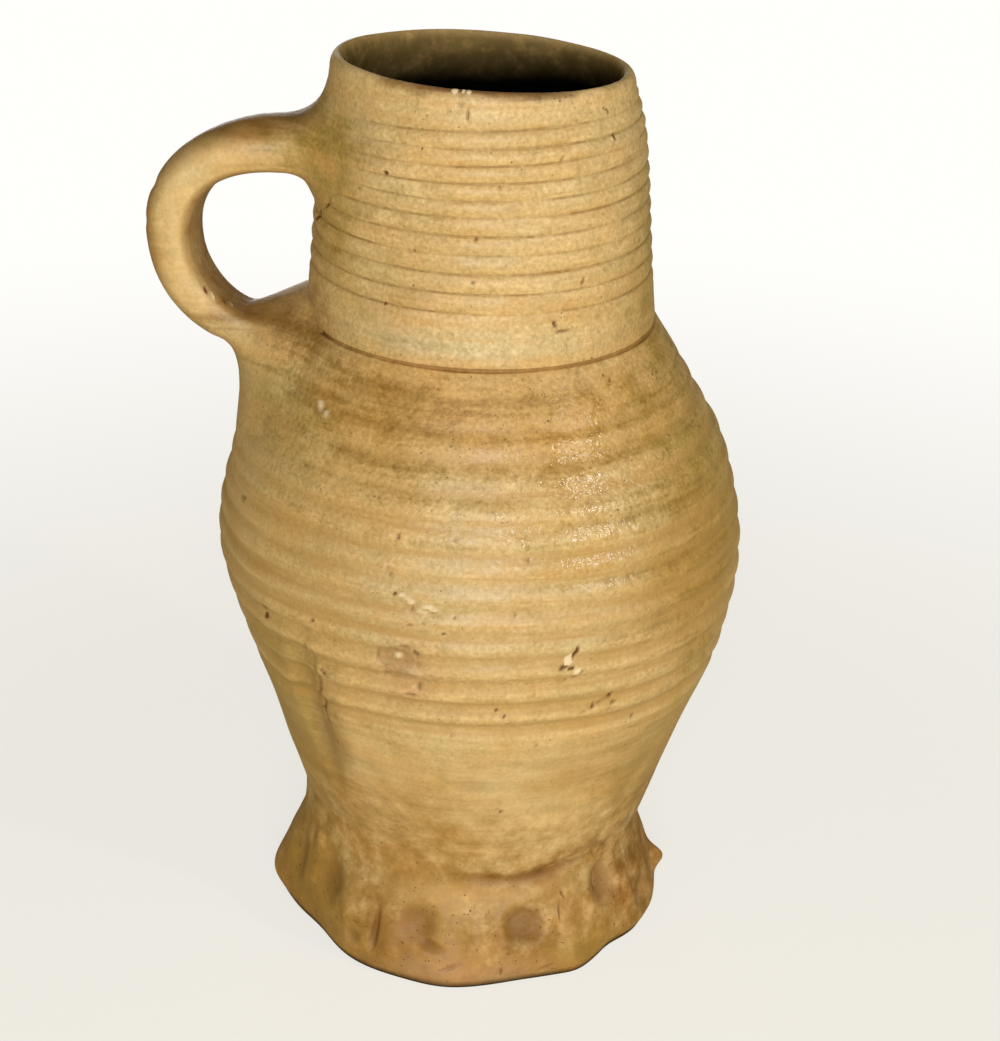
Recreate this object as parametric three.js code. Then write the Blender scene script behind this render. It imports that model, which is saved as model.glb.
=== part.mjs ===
// A wheel-thrown stoneware jug: a hollow belly, a ribbed neck luted on its shoulder, a pulled loop
// handle and a frill of clay pressed round the foot by thumb, each bedded in a film of slip.
// Millimetres, +Z up. The origin is the middle of the flat base, and the handle points along -X.
import * as THREE from 'three';

// Belly: outside radii, and how far each stands above the one before
const baseRadius = 38.5;
const heelRise = 18;
const heelRadius = 39.2;
const waistRise = 18;
const waistRadius = 44.8;
const flankRise = 22;
const flankRadius = 52.4;
const lowerBellyRise = 24;
const lowerBellyRadius = 61.6;
const bellyRise = 22;
const bellyRadius = 65;
const shoulderRise = 24;
const shoulderRadius = 60.6;
const upperShoulderRise = 17;
const upperShoulderRadius = 51.7;
const seatRise = 15.6;
const seatRadius = 42.4;
const bellyWall = 5;
const floorThickness = 7;
const floorFilletWidth = 7;
const floorFilletHeight = 6;
const baseEdge = 1.5;
const seatEdge = 0.8;

// Hollows left by the potter's fingers round the belly
const hollowPitch = 6.45;
const hollowDepth = 0.6;
const hollowFade = 0.6;
const hollowsStart = 78.4;
const hollowsEndBelowSeat = 12;

// Neck: measured up from its own foot, which stands a little inside the seat's edge
const neckSetback = 0.5;
const lowerNeckRise = 23;
const lowerNeckRadius = 40.3;
const upperNeckRise = 20;
const upperNeckRadius = 38.6;
const rimRise = 14;
const rimRadius = 35.8;
const lipHeight = 3.5;
const lipWidth = 3.7;
const neckWall = 3.9;
const neckFootEdge = 0.8;

// Incised grooves round the neck, with plain bands below and above them
const groovePitch = 4.12;
const grooveDepth = 0.5;
const grooveHalfWidth = 1.2;
const plainBandBelow = 8.5;
const plainBandAbove = 2.5;

// Handle: a strap with round edges, drawn out of the neck and down to the shoulder
const upperRootDrop = 21.9;
const lowerRootDrop = 9;
const loopDepth = 25.4;
const gripDrop = 20.6;
const upperArmLength = 9.5;
const lowerArmLength = 6.5;
const upperStrapWidth = 21;
const lowerStrapWidth = 18;
const upperStrapThickness = 14;
const lowerStrapThickness = 13;
const upperBendFullness = 0.56;
const lowerBendFullness = 0.52;
const lowerArmPull = 9;
const lowerArmSlope = 18;

// Clay of the handle's ends smeared out over the wall, measured from each end's middle
const upperSmearUp = 15;
const upperSmearDown = 17.5;
const upperSmearHalfWidth = 22;
const lowerSmearUp = 15;
const lowerSmearDown = 19;
const lowerSmearHalfWidth = 19;
const upperSmearBody = 1;
const lowerSmearBody = 6;
const smearEdge = 0.4;
const cornerFill = 5;

// Frilled foot: a coil of clay pushed against the heel
const frillBaseRadius = 47.6;
const frillEdgeRadius = 49;
const frillEdgeHeight = 4;
const frillBodyRadius = 46.6;
const frillBodyHeight = 16;
const frillHeight = 30;
const frillSway = -1;
const frillTopThickness = 0.8;
const frillShift = 2.6;
const thumbCount = 12;
const thumbDepth = 3.4;
const thumbHalfWidth = 6.5;
const thumbHalfHeight = 8;
const thumbHeight = 16;

// Two cusps between the thumb marks that stand out further than the rest
const handleSideCusp = { angle: Math.PI, height: 5, reach: 2.6, spread: 7 };
const farSideCusp = { angle: 0, height: 11, reach: 3.2, spread: 3 };

// Slip between the pieces, and the clearance on either side of it
const slipThickness = 0.5;
const neckSlipThickness = 0.8;
const slipSqueezeOut = 1;
const slipLowerEdge = 1;
const clearance = 0.3;

// The pot leans towards its handle, its mouth sags away from it, and one flank was pushed in
const leanPerHeight = 0.02015;
const mouthTilt = 0.037;
const mouthTiltSpan = 22;
const flankDentAngle = 195;
const flankDentHeight = 76;
const flankDentDepth = 2.6;
const flankDentHalfHeight = 18;
const flankDentHalfWidth = 26;

// Fineness of the facets
const potSides = 44;
const strapSides = 20;
const strapSteps = 18;
const wallStep = 7;
const innerWallStep = 14;

// Sizes that follow from the ones above
const heelHeight = heelRise;
const waistHeight = heelHeight + waistRise;
const flankHeight = waistHeight + flankRise;
const lowerBellyHeight = flankHeight + lowerBellyRise;
const bellyHeight = lowerBellyHeight + bellyRise;
const shoulderHeight = bellyHeight + shoulderRise;
const upperShoulderHeight = shoulderHeight + upperShoulderRise;
const seatHeight = upperShoulderHeight + seatRise;
const neckFootHeight = seatHeight + clearance + neckSlipThickness + clearance;
const neckFootRadius = seatRadius - neckSetback;
const lowerNeckHeight = neckFootHeight + lowerNeckRise;
const upperNeckHeight = lowerNeckHeight + upperNeckRise;
const rimHeight = upperNeckHeight + rimRise;
const mouthHeight = rimHeight + lipHeight;
const frillSides = potSides * 2;
const slipLift = clearance + slipThickness;
const seatLift = slipLift + clearance;

const bellyOutline = curveThrough([
  [0, baseRadius],
  [heelHeight, heelRadius],
  [waistHeight, waistRadius],
  [flankHeight, flankRadius],
  [lowerBellyHeight, lowerBellyRadius],
  [bellyHeight, bellyRadius],
  [shoulderHeight, shoulderRadius],
  [upperShoulderHeight, upperShoulderRadius],
  [seatHeight, seatRadius],
]);

const neckOutline = curveThrough([
  [neckFootHeight, neckFootRadius],
  [lowerNeckHeight, lowerNeckRadius],
  [upperNeckHeight, upperNeckRadius],
  [rimHeight, rimRadius],
]);

// A smooth curve of radius against height through its stations, which it never overshoots
function curveThrough(stations) {
  const rise = (i) => stations[i + 1][0] - stations[i][0];
  const slope = (i) => (stations[i + 1][1] - stations[i][1]) / rise(i);
  const last = stations.length - 1;
  const tangent = stations.map((_, i) => {
    if (i === 0) return slope(0);
    if (i === last) return slope(last - 1);
    const below = slope(i - 1);
    const above = slope(i);
    return below * above > 0 ? (2 * below * above) / (below + above) : 0;
  });
  return (height) => {
    const z = THREE.MathUtils.clamp(height, stations[0][0], stations[last][0]);
    let i = 0;
    while (i < last - 1 && z > stations[i + 1][0]) i += 1;
    const t = (z - stations[i][0]) / rise(i);
    const start = stations[i][1];
    const end = stations[i + 1][1];
    const blend = t * t * (3 - 2 * t);
    const bow = t * (1 - t) * ((1 - t) * tangent[i] - t * tangent[i + 1]) * rise(i);
    return start + (end - start) * blend + bow;
  };
}

// Outside radius of the whole pot, over the crests of its ribs
function potRadius(height) {
  return height < seatHeight ? bellyOutline(height) : neckOutline(height);
}

function evenSteps(from, to, step) {
  const count = Math.max(1, Math.round(Math.abs(to - from) / step));
  return Array.from({ length: count + 1 }, (_, i) => from + ((to - from) * i) / count);
}

// Profile that runs once round a wall, turned about the pot's axis
function turned(profile) {
  const points = profile.map(([radius, height]) => new THREE.Vector2(radius, height));
  return new THREE.LatheGeometry(points, potSides).rotateX(Math.PI / 2);
}

// Skin over rings of points, joined end to end in a loop or closed at both ends
function ringSkin(rings, isLoop) {
  const sides = rings[0].length;
  const points = rings.flat();
  const faces = [];
  const spans = isLoop ? rings.length : rings.length - 1;
  for (let i = 0; i < spans; i += 1) {
    const next = (i + 1) % rings.length;
    for (let j = 0; j < sides; j += 1) {
      const side = (j + 1) % sides;
      const a = i * sides + j;
      const b = i * sides + side;
      const c = next * sides + side;
      const d = next * sides + j;
      faces.push(a, b, d, c, d, b);
    }
  }
  if (!isLoop) {
    const lastRing = (rings.length - 1) * sides;
    points.push(middleOf(rings[0]), middleOf(rings[rings.length - 1]));
    for (let j = 0; j < sides; j += 1) {
      const side = (j + 1) % sides;
      faces.push(points.length - 2, side, j);
      faces.push(points.length - 1, lastRing + j, lastRing + side);
    }
  }
  return facingOut(new THREE.BufferGeometry().setFromPoints(points).setIndex(faces));
}

function middleOf(ring) {
  const sum = ring.reduce((total, point) => total.add(point), new THREE.Vector3());
  return sum.divideScalar(ring.length);
}

// Turns the faces over where they enclose a negative volume
function facingOut(geometry) {
  const corner = (k) => new THREE.Vector3().fromBufferAttribute(geometry.attributes.position, k);
  const faces = Array.from(geometry.index.array);
  let volume = 0;
  for (let i = 0; i < faces.length; i += 3) {
    const [a, b, c] = faces.slice(i, i + 3).map(corner);
    volume += a.dot(b.cross(c));
  }
  return volume > 0 ? geometry : geometry.setIndex(faces.reverse());
}

// The set that the jug took in the kiln, which leaves the base flat
function fired(geometry) {
  const position = geometry.attributes.position;
  for (let i = 0; i < position.count; i += 1) {
    const x = position.getX(i);
    const y = position.getY(i);
    const z = position.getZ(i);
    const nearMouth = THREE.MathUtils.smoothstep(z, mouthHeight - mouthTiltSpan, mouthHeight);
    const angle = Math.atan2(y, x);
    const dent = flankDent(angle, z);
    position.setX(i, x - dent * Math.cos(angle) - leanPerHeight * z);
    position.setY(i, y - dent * Math.sin(angle));
    position.setZ(i, z - mouthTilt * (x + y) * nearMouth);
  }
  return geometry;
}

// How far the pushed-in flank lies inside the round wall
function flankDent(angle, height) {
  const middle = THREE.MathUtils.degToRad(flankDentAngle);
  const across = (turnBetween(middle, angle) * bellyRadius) / flankDentHalfWidth;
  const up = (height - flankDentHeight) / flankDentHalfHeight;
  return flankDentDepth * Math.exp(-across * across - up * up);
}

// Signed turn from one angle round the axis to another, the short way
function turnBetween(from, to) {
  return THREE.MathUtils.euclideanModulo(to - from + Math.PI, 2 * Math.PI) - Math.PI;
}

function potBody() {
  const hollowsEnd = seatHeight - hollowsEndBelowSeat;
  const fade = (z) => 1 - (hollowFade * (z - hollowsStart)) / (hollowsEnd - hollowsStart);
  const hollows = evenSteps(hollowsStart, hollowsEnd, hollowPitch);
  const halfStep = (hollows[1] - hollows[0]) / 2;
  const rippled = hollows.flatMap((z) => [
    [bellyOutline(z) - hollowDepth * fade(z), z],
    [bellyOutline(z + halfStep), z + halfStep],
  ]);
  const smooth = evenSteps(baseEdge, hollowsStart - halfStep, wallStep).map((z) => [bellyOutline(z), z]);
  const seat = [
    [bellyOutline(seatHeight - seatEdge), seatHeight - seatEdge],
    [seatRadius - seatEdge, seatHeight],
    [seatRadius - bellyWall, seatHeight],
  ];
  const filletTop = floorThickness + floorFilletHeight;
  const inner = evenSteps(seatHeight - innerWallStep, filletTop, innerWallStep);
  const inside = inner.map((z) => [bellyOutline(z) - bellyWall, z]);
  const filletStart = bellyOutline(filletTop) - bellyWall;
  const fillet = evenSteps(Math.PI / 6, Math.PI / 2, Math.PI / 6).map((turn) => [
    filletStart - floorFilletWidth * (1 - Math.cos(turn)),
    filletTop - floorFilletHeight * Math.sin(turn),
  ]);
  return turned([
    [0, 0],
    [baseRadius - baseEdge, 0],
    ...smooth,
    ...rippled,
    ...seat,
    ...inside,
    ...fillet,
    [0, floorThickness],
  ]);
}

function neck() {
  const bandTop = rimHeight - plainBandAbove;
  const firstGroove = neckFootHeight + plainBandBelow;
  const grooveCount = Math.max(1, Math.floor((bandTop - firstGroove) / groovePitch) + 1);
  const crestBelow = (z) => [neckOutline(z - grooveHalfWidth), z - grooveHalfWidth];
  const crestAbove = (z) => [neckOutline(z + grooveHalfWidth), z + grooveHalfWidth];
  const grooves = Array.from({ length: grooveCount }, (_, i) => firstGroove + i * groovePitch);
  const ribbed = grooves.flatMap((z) => [crestBelow(z), [neckOutline(z) - grooveDepth, z], crestAbove(z)]);
  const lip = evenSteps(0, Math.PI, Math.PI / 6).map((turn) => [
    rimRadius - (lipWidth / 2) * (1 - Math.cos(turn)),
    rimHeight + lipHeight * Math.sin(turn),
  ]);
  const inner = evenSteps(rimHeight - lipWidth, neckFootHeight, innerWallStep);
  const start = [neckFootRadius - neckFootEdge, neckFootHeight];
  return turned([
    start,
    [neckFootRadius, neckFootHeight + neckFootEdge * 2],
    ...ribbed,
    ...lip,
    ...inner.map((z) => [neckOutline(z) - neckWall, z]),
    start,
  ]);
}

function neckLuting() {
  const outer = neckFootRadius - neckFootEdge;
  const inner = neckFootRadius - neckWall + neckFootEdge;
  const low = seatHeight + clearance;
  const high = low + neckSlipThickness;
  return turned([[inner, low], [outer, low], [outer, high], [inner, high], [inner, low]]);
}

// Radius that smeared clay lies on: the pot's own, with the corner at the neck's foot filled in
function bedRadius(height) {
  const bridged = (potRadius(height - cornerFill) + potRadius(height + cornerFill)) / 2;
  return Math.max(potRadius(height), bridged);
}

// A point at a lift over that bed, at an angle round the pot's axis
function overWall({ angle, height, lift }) {
  const radius = bedRadius(height) + lift;
  return new THREE.Vector3(radius * Math.cos(angle), radius * Math.sin(angle), height);
}

function wallPlace(point) {
  const angle = Math.atan2(point.y, point.x);
  const lift = Math.hypot(point.x, point.y) - bedRadius(point.z);
  return { angle: angle < 0 ? angle + 2 * Math.PI : angle, height: point.z, lift };
}

// Where a straight line from a point meets the surface at a lift over the wall
function meetWall(point, direction, lift) {
  let near = 0;
  let far = Math.hypot(point.x, point.y);
  for (let i = 0; i < 40; i += 1) {
    const middle = (near + far) / 2;
    const probe = wallPlace(point.clone().addScaledVector(direction, middle));
    if (probe.lift > lift) near = middle;
    else far = middle;
  }
  return wallPlace(point.clone().addScaledVector(direction, near));
}

// The two ends of the handle: where each sits on the wall, and how its clay is smeared out
const upperRoot = {
  height: mouthHeight - upperRootDrop,
  inward: 'down',
  up: upperSmearUp,
  down: upperSmearDown,
  halfWidth: upperSmearHalfWidth,
  body: upperSmearBody,
};
const lowerRoot = {
  height: seatHeight - lowerRootDrop,
  inward: 'up',
  up: lowerSmearUp,
  down: lowerSmearDown,
  halfWidth: lowerSmearHalfWidth,
  body: lowerSmearBody,
};

// Outline of a smeared end on the wall; share shrinks it towards the end's middle
function smearOutline(root, turn, share, lift) {
  const towardsLoop = Math.cos(turn);
  const upward = root.inward === 'up' ? towardsLoop : -towardsLoop;
  const height = root.height + upward * (upward > 0 ? root.up : root.down) * share;
  const angle = Math.PI - (root.halfWidth * Math.sin(turn) * share) / potRadius(root.height);
  return { angle, height, lift };
}

const strapTurns = Array.from({ length: strapSides }, (_, i) => (2 * Math.PI * i) / strapSides);

// Middle line of the handle, from the upper arm round the grip to the lower arm
function handleLine() {
  const side = (radius, height) => new THREE.Vector3(-radius, 0, height);
  const upperStart = side(potRadius(upperRoot.height) + seatLift + upperArmLength, upperRoot.height);
  const gripHeight = upperRoot.height - gripDrop;
  const grip = side(potRadius(gripHeight) + loopDepth + upperStrapThickness / 2, gripHeight);
  const slope = THREE.MathUtils.degToRad(lowerArmSlope);
  const outward = side(Math.cos(slope), Math.sin(slope));
  const lowerWall = side(potRadius(lowerRoot.height) + seatLift, lowerRoot.height);
  const lowerEnd = lowerWall.clone().addScaledVector(outward, lowerArmLength);
  const line = new THREE.CurvePath();
  line.add(
    new THREE.CubicBezierCurve3(
      upperStart,
      side(THREE.MathUtils.lerp(-upperStart.x, -grip.x, upperBendFullness), upperStart.z),
      side(-grip.x, THREE.MathUtils.lerp(grip.z, upperStart.z, upperBendFullness)),
      grip,
    ),
  );
  line.add(
    new THREE.CubicBezierCurve3(
      grip,
      side(-grip.x, THREE.MathUtils.lerp(grip.z, lowerEnd.z, lowerBendFullness)),
      lowerEnd.clone().addScaledVector(outward, lowerArmPull),
      lowerEnd,
    ),
  );
  return line;
}

// Ring of the strap at a share of the way along its middle line
function strapRing(line, share) {
  const middle = line.getPointAt(share);
  const along = line.getTangentAt(share);
  const across = new THREE.Vector3(0, 1, 0);
  const towardsLoop = along.clone().cross(across);
  const thickness = THREE.MathUtils.lerp(upperStrapThickness, lowerStrapThickness, share);
  const width = THREE.MathUtils.lerp(upperStrapWidth, lowerStrapWidth, share);
  return strapTurns.map((turn) =>
    middle
      .clone()
      .addScaledVector(towardsLoop, (thickness / 2) * Math.cos(turn))
      .addScaledVector(across, (width / 2) * Math.sin(turn)),
  );
}

// Fillet from the strap's last ring out to the edge of the smear, then in again under it
function rootRings(root, ring, direction) {
  const edgeLift = seatLift + smearEdge;
  const corners = ring.map((point) => meetWall(point, direction, edgeLift + root.body));
  const fillet = [0.2, 0.4, 0.6, 0.8, 1].map((t) =>
    ring.map((point, i) => {
      const from = wallPlace(point);
      const to = smearOutline(root, strapTurns[i], 1, edgeLift);
      const bend = (key) => (1 - t) ** 2 * from[key] + 2 * t * (1 - t) * corners[i][key] + t * t * to[key];
      return overWall({ angle: bend('angle'), height: bend('height'), lift: bend('lift') });
    }),
  );
  const under = smearShares.map((share) => smearRing(root, share, seatLift));
  return [...fillet, ...under];
}

const smearShares = [1, 0.8, 0.6, 0.4, 0.2];

function smearRing(root, share, lift) {
  return strapTurns.map((turn) => overWall(smearOutline(root, turn, share, lift)));
}

function handle() {
  const line = handleLine();
  const strap = evenSteps(0, 1, 1 / strapSteps).map((share) => strapRing(line, share));
  const towardsNeck = line.getTangentAt(0).negate();
  const towardsShoulder = line.getTangentAt(1);
  const upper = rootRings(upperRoot, strap[0], towardsNeck);
  const lower = rootRings(lowerRoot, strap[strap.length - 1], towardsShoulder);
  return ringSkin([...upper.reverse(), ...strap, ...lower], false);
}

// Slip under a smeared end, squeezed out a little all round it
function rootLuting(root) {
  const squeezed = 1 + slipSqueezeOut / root.halfWidth;
  const shares = [squeezed, ...smearShares];
  const bottom = shares.map((share) => smearRing(root, share, clearance)).reverse();
  const top = shares.map((share) => smearRing(root, share, slipLift));
  return ringSkin([...bottom, ...top], false);
}

function aroundRing(sides, pointAt) {
  return Array.from({ length: sides }, (_, i) => pointAt((2 * Math.PI * i) / sides));
}

function frillTop(angle) {
  return frillHeight + frillSway * Math.cos(2 * angle);
}

// How deep the nearest thumb mark is at a place on the frill
function thumbMark(angle, height) {
  const pitch = (2 * Math.PI) / thumbCount;
  const turn = THREE.MathUtils.euclideanModulo(angle, pitch) - pitch / 2;
  const across = (turn * frillBodyRadius) / thumbHalfWidth;
  const up = (height - thumbHeight) / thumbHalfHeight;
  return thumbDepth * Math.exp(-across * across - up * up);
}

function cuspReach(cusp, angle, height) {
  const across = (turnBetween(cusp.angle, angle) * frillEdgeRadius) / cusp.spread;
  const up = (height - cusp.height) / cusp.spread;
  return cusp.reach * Math.exp(-across * across - up * up);
}

// Outside radius of the frill
function frillRadius(angle, height) {
  const top = frillTop(angle);
  const inner = bellyOutline(height) + seatLift;
  const outline = curveThrough([
    [0, frillBaseRadius],
    [frillEdgeHeight, frillEdgeRadius],
    [frillBodyHeight, frillBodyRadius],
    [top, bellyOutline(top) + seatLift + frillTopThickness],
  ]);
  const shift = frillShift * Math.cos(angle) * (1 - (height / top) ** 3);
  const cusps = cuspReach(handleSideCusp, angle, height) + cuspReach(farSideCusp, angle, height);
  const radius = outline(height) - shift - thumbMark(angle, height) + cusps;
  return Math.max(radius, inner + frillTopThickness);
}

function frilledFoot() {
  const outerShares = [0, 0.06, 0.14, 0.24, 0.35, 0.46, 0.57, 0.7, 0.85, 1];
  const outer = outerShares.map((share) =>
    aroundRing(frillSides, (angle) => {
      const height = share * frillTop(angle);
      return atRadius(frillRadius(angle, height), angle, height);
    }),
  );
  const inner = [1, 0.67, 0.33, 0].map((share) =>
    aroundRing(frillSides, (angle) => {
      const height = share * frillTop(angle);
      return atRadius(bellyOutline(height) + seatLift, angle, height);
    }),
  );
  return ringSkin([...outer, ...inner], true);
}

function footLuting() {
  const shares = [0, 0.33, 0.67, 1];
  const ringAt = (share, lift) =>
    aroundRing(potSides, (angle) => {
      const height = THREE.MathUtils.lerp(slipLowerEdge, frillTop(angle) + slipSqueezeOut, share);
      return atRadius(bellyOutline(height) + lift, angle, height);
    });
  const outer = shares.map((share) => ringAt(share, slipLift));
  const inner = [...shares].reverse().map((share) => ringAt(share, clearance));
  return ringSkin([...outer, ...inner], true);
}

function atRadius(radius, angle, height) {
  return new THREE.Vector3(radius * Math.cos(angle), radius * Math.sin(angle), height);
}

const finishes = {
  belly: { color: 0xa68d5c, roughness: 0.55, metalness: 0 },
  neck: { color: 0xb09867, roughness: 0.55, metalness: 0 },
  handle: { color: 0xa58754, roughness: 0.58, metalness: 0 },
  frill: { color: 0x9c7f4f, roughness: 0.65, metalness: 0 },
  slip: { color: 0x8a6b40, roughness: 0.8, metalness: 0 },
};

function piece(name, geometry, finish) {
  const mesh = new THREE.Mesh(fired(geometry), new THREE.MeshStandardMaterial(finishes[finish]));
  mesh.name = name;
  return mesh;
}

const jug = new THREE.Group();
jug.add(piece('pot_body', potBody(), 'belly'));
jug.add(piece('neck_luting', neckLuting(), 'slip'));
jug.add(piece('neck', neck(), 'neck'));
jug.add(piece('handle_upper_luting', rootLuting(upperRoot), 'slip'));
jug.add(piece('handle_lower_luting', rootLuting(lowerRoot), 'slip'));
jug.add(piece('handle', handle(), 'handle'));
jug.add(piece('foot_luting', footLuting(), 'slip'));
jug.add(piece('frilled_foot', frilledFoot(), 'frill'));

export default jug;
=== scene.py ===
import math

import bpy
import numpy as np
from mathutils import Matrix, Vector


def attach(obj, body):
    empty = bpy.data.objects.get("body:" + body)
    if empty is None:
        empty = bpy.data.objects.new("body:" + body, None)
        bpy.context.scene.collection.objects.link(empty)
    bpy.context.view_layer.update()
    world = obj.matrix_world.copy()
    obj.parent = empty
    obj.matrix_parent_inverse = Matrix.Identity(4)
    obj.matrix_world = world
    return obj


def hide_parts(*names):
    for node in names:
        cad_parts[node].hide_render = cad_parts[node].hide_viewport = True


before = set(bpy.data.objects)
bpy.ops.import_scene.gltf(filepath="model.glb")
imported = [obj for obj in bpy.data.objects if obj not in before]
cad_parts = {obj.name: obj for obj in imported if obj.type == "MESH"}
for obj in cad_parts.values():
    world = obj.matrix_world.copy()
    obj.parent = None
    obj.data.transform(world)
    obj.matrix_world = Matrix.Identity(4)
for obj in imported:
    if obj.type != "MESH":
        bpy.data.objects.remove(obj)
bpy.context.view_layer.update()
print("frame:", ", ".join(sorted(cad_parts)))

pi = math.pi
mm = 0.001  # sizes below are in millimetres, meshes in metres
skinInset = 0.15  # keeps round skins inside the box of the faceted solids


# Sockets that can be added, multiplied and compared like numbers
class Wire:
    def __init__(self, tree, socket=None):
        self.tree = tree
        self.socket = socket

    def node(self, kind, settings=None, sockets=None, output=0):
        made = self.tree.nodes.new(kind)
        for name, value in (settings or {}).items():
            setattr(made, name, value)
        for name, value in (sockets or {}).items():
            if isinstance(value, Wire):
                self.tree.links.new(value.socket, made.inputs[name])
            else:
                made.inputs[name].default_value = value
        return Wire(self.tree, made.outputs[output] if len(made.outputs) else None)

    def math(self, operation, first, second=0.0):
        return self.node("ShaderNodeMath", {"operation": operation}, {0: first, 1: second})

    def __add__(self, other):
        return self.math("ADD", self, other)

    def __sub__(self, other):
        return self.math("SUBTRACT", self, other)

    def __mul__(self, other):
        return self.math("MULTIPLY", self, other)

    def __truediv__(self, other):
        return self.math("DIVIDE", self, other)

    def __pow__(self, other):
        return self.math("POWER", self, other)

    def __radd__(self, other):
        return self.math("ADD", other, self)

    def __rsub__(self, other):
        return self.math("SUBTRACT", other, self)

    def __rmul__(self, other):
        return self.math("MULTIPLY", other, self)

    def __rtruediv__(self, other):
        return self.math("DIVIDE", other, self)

    def __neg__(self):
        return self.math("MULTIPLY", self, -1.0)

    # 0 below low, 1 above high and an easy rise between; low may be the higher one
    def rise(self, low, high):
        sockets = {"Value": self, "From Min": low, "From Max": high}
        return self.node("ShaderNodeMapRange", {"interpolation_type": "SMOOTHSTEP"}, sockets)

    # 1 at nought, falling off as a bell on both sides
    def bell(self):
        return self.math("EXPONENT", -(self * self))

    def clipped(self):
        return self.node("ShaderNodeClamp", {}, {"Value": self})

    def stretched(self, size):
        return self.node("ShaderNodeVectorMath", {"operation": "MULTIPLY"}, {0: self, 1: size})

    def moved(self, step):
        return self.node("ShaderNodeVectorMath", {"operation": "ADD"}, {0: self, 1: step})

    def length(self):
        return self.node("ShaderNodeVectorMath", {"operation": "LENGTH"}, {0: self}, "Value")

    # distance from the middle of a patch, which is 1 at its reach
    def awayFrom(self, middle, reach):
        near = self.moved([-size * mm for size in middle])
        return near.stretched([1 / (size * mm) for size in reach]).length()

    def parts(self):
        split = self.node("ShaderNodeSeparateXYZ", {}, {"Vector": self}).socket.node
        return [Wire(self.tree, end) for end in split.outputs]

    # even cloud from 0 to 1 about a middle of one half
    def cloud(self, scale, detail=2.0, roughness=0.5):
        sockets = {"Vector": self, "Scale": scale, "Detail": detail, "Roughness": roughness}
        return self.node("ShaderNodeTexNoise", {"noise_dimensions": "3D"}, sockets)


# A radius for every height: a smooth line through its stations that never overshoots them
def curveThrough(stations):
    height, radius = np.array(stations, float).T
    rise = np.diff(height)
    slope = np.diff(radius) / rise
    below, above = slope[:-1], slope[1:]
    total = np.where(below * above > 0, below + above, 1)
    bend = np.where(below * above > 0, 2 * below * above / total, 0)
    tangent = np.concatenate([slope[:1], bend, slope[-1:]])

    def radiusAt(wanted):
        z = np.clip(wanted, height[0], height[-1])
        i = np.clip(np.searchsorted(height, z, "right") - 1, 0, len(rise) - 1)
        t = (z - height[i]) / rise[i]
        blend = t * t * (3 - 2 * t)
        bow = t * (1 - t) * ((1 - t) * tangent[i] - t * tangent[i + 1]) * rise[i]
        return radius[i] + (radius[i + 1] - radius[i]) * blend + bow

    return radiusAt


def evenSteps(start, end, step):
    count = max(1, round(abs(end - start) / step))
    return np.linspace(start, end, count + 1)


def newObject(name, data):
    made = bpy.data.objects.new(name, data)
    bpy.context.scene.collection.objects.link(made)
    return made


# Mesh over rings of points (rings x sides x 3, in millimetres), with named facts for each point
def ringSkin(name, rings, facts, loop=False):
    count, sides = rings.shape[:2]
    points = rings.reshape(-1, 3) * mm
    facts = {label: np.broadcast_to(values, (count, sides)).ravel() for label, values in facts.items()}
    grid = np.arange(count * sides).reshape(count, sides)
    spans = count if loop else count - 1
    low = grid[:spans]
    high = grid[(np.arange(spans) + 1) % count]
    quads = np.stack([low, np.roll(low, -1, 1), np.roll(high, -1, 1), high], 2).reshape(-1, 4)
    caps = np.zeros((0, 3), int)
    if not loop:
        points = np.vstack([points, rings[0].mean(0) * mm, rings[-1].mean(0) * mm])
        firstHub, lastHub = np.full(sides, count * sides), np.full(sides, count * sides + 1)
        firstCap = np.stack([firstHub, np.roll(grid[0], -1), grid[0]], 1)
        lastCap = np.stack([lastHub, grid[-1], np.roll(grid[-1], -1)], 1)
        caps = np.vstack([firstCap, lastCap])
        facts = {
            label: np.concatenate([values, [values[:sides].mean(), values[-sides:].mean()]])
            for label, values in facts.items()
        }
    a, b, c, d = (points[quads[:, k]] for k in range(4))
    volume = (np.cross(b, c) * a).sum() + (np.cross(c, d) * a).sum()
    faces = quads.tolist() + caps.tolist()
    if volume < 0:
        faces = [face[::-1] for face in faces]
    mesh = bpy.data.meshes.new(name)
    mesh.from_pydata(points.tolist(), [], faces)
    mesh.shade_smooth()
    for label, values in facts.items():
        mesh.attributes.new(label, "FLOAT", "POINT").data.foreach_set("value", values.astype(np.float32))
    return newObject(name, mesh)


# Angles of a mesh's sides, closest together on the side of the jug that bears most marks
def sideAngles(sides, markedSide=1.5 * pi, crowding=0.42):
    even = np.arange(sides) * 2 * pi / sides
    return even - crowding * np.sin(even - markedSide)


# Rings of a turned profile, whose rows are radius, height and 1 outside or 0 inside
def turnedSkin(name, profile, sides, loop=False):
    radius, height, outside = np.array(profile, float).T[:, :, None]
    angle = sideAngles(sides)
    rings = np.stack(np.broadcast_arrays(radius * np.cos(angle), radius * np.sin(angle), height), 2)
    facts = {"around": angle[None], "along": height * mm, "outside": outside}
    return ringSkin(name, rings, facts, loop)


# Row of profile points round part of an ellipse
def roundEdge(middle, reach, fromTurn, toTurn, count, outside):
    turns = np.linspace(fromTurn, toTurn, count)
    return [(middle[0] + reach[0] * math.cos(t), middle[1] + reach[1] * math.sin(t), outside) for t in turns]


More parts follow.
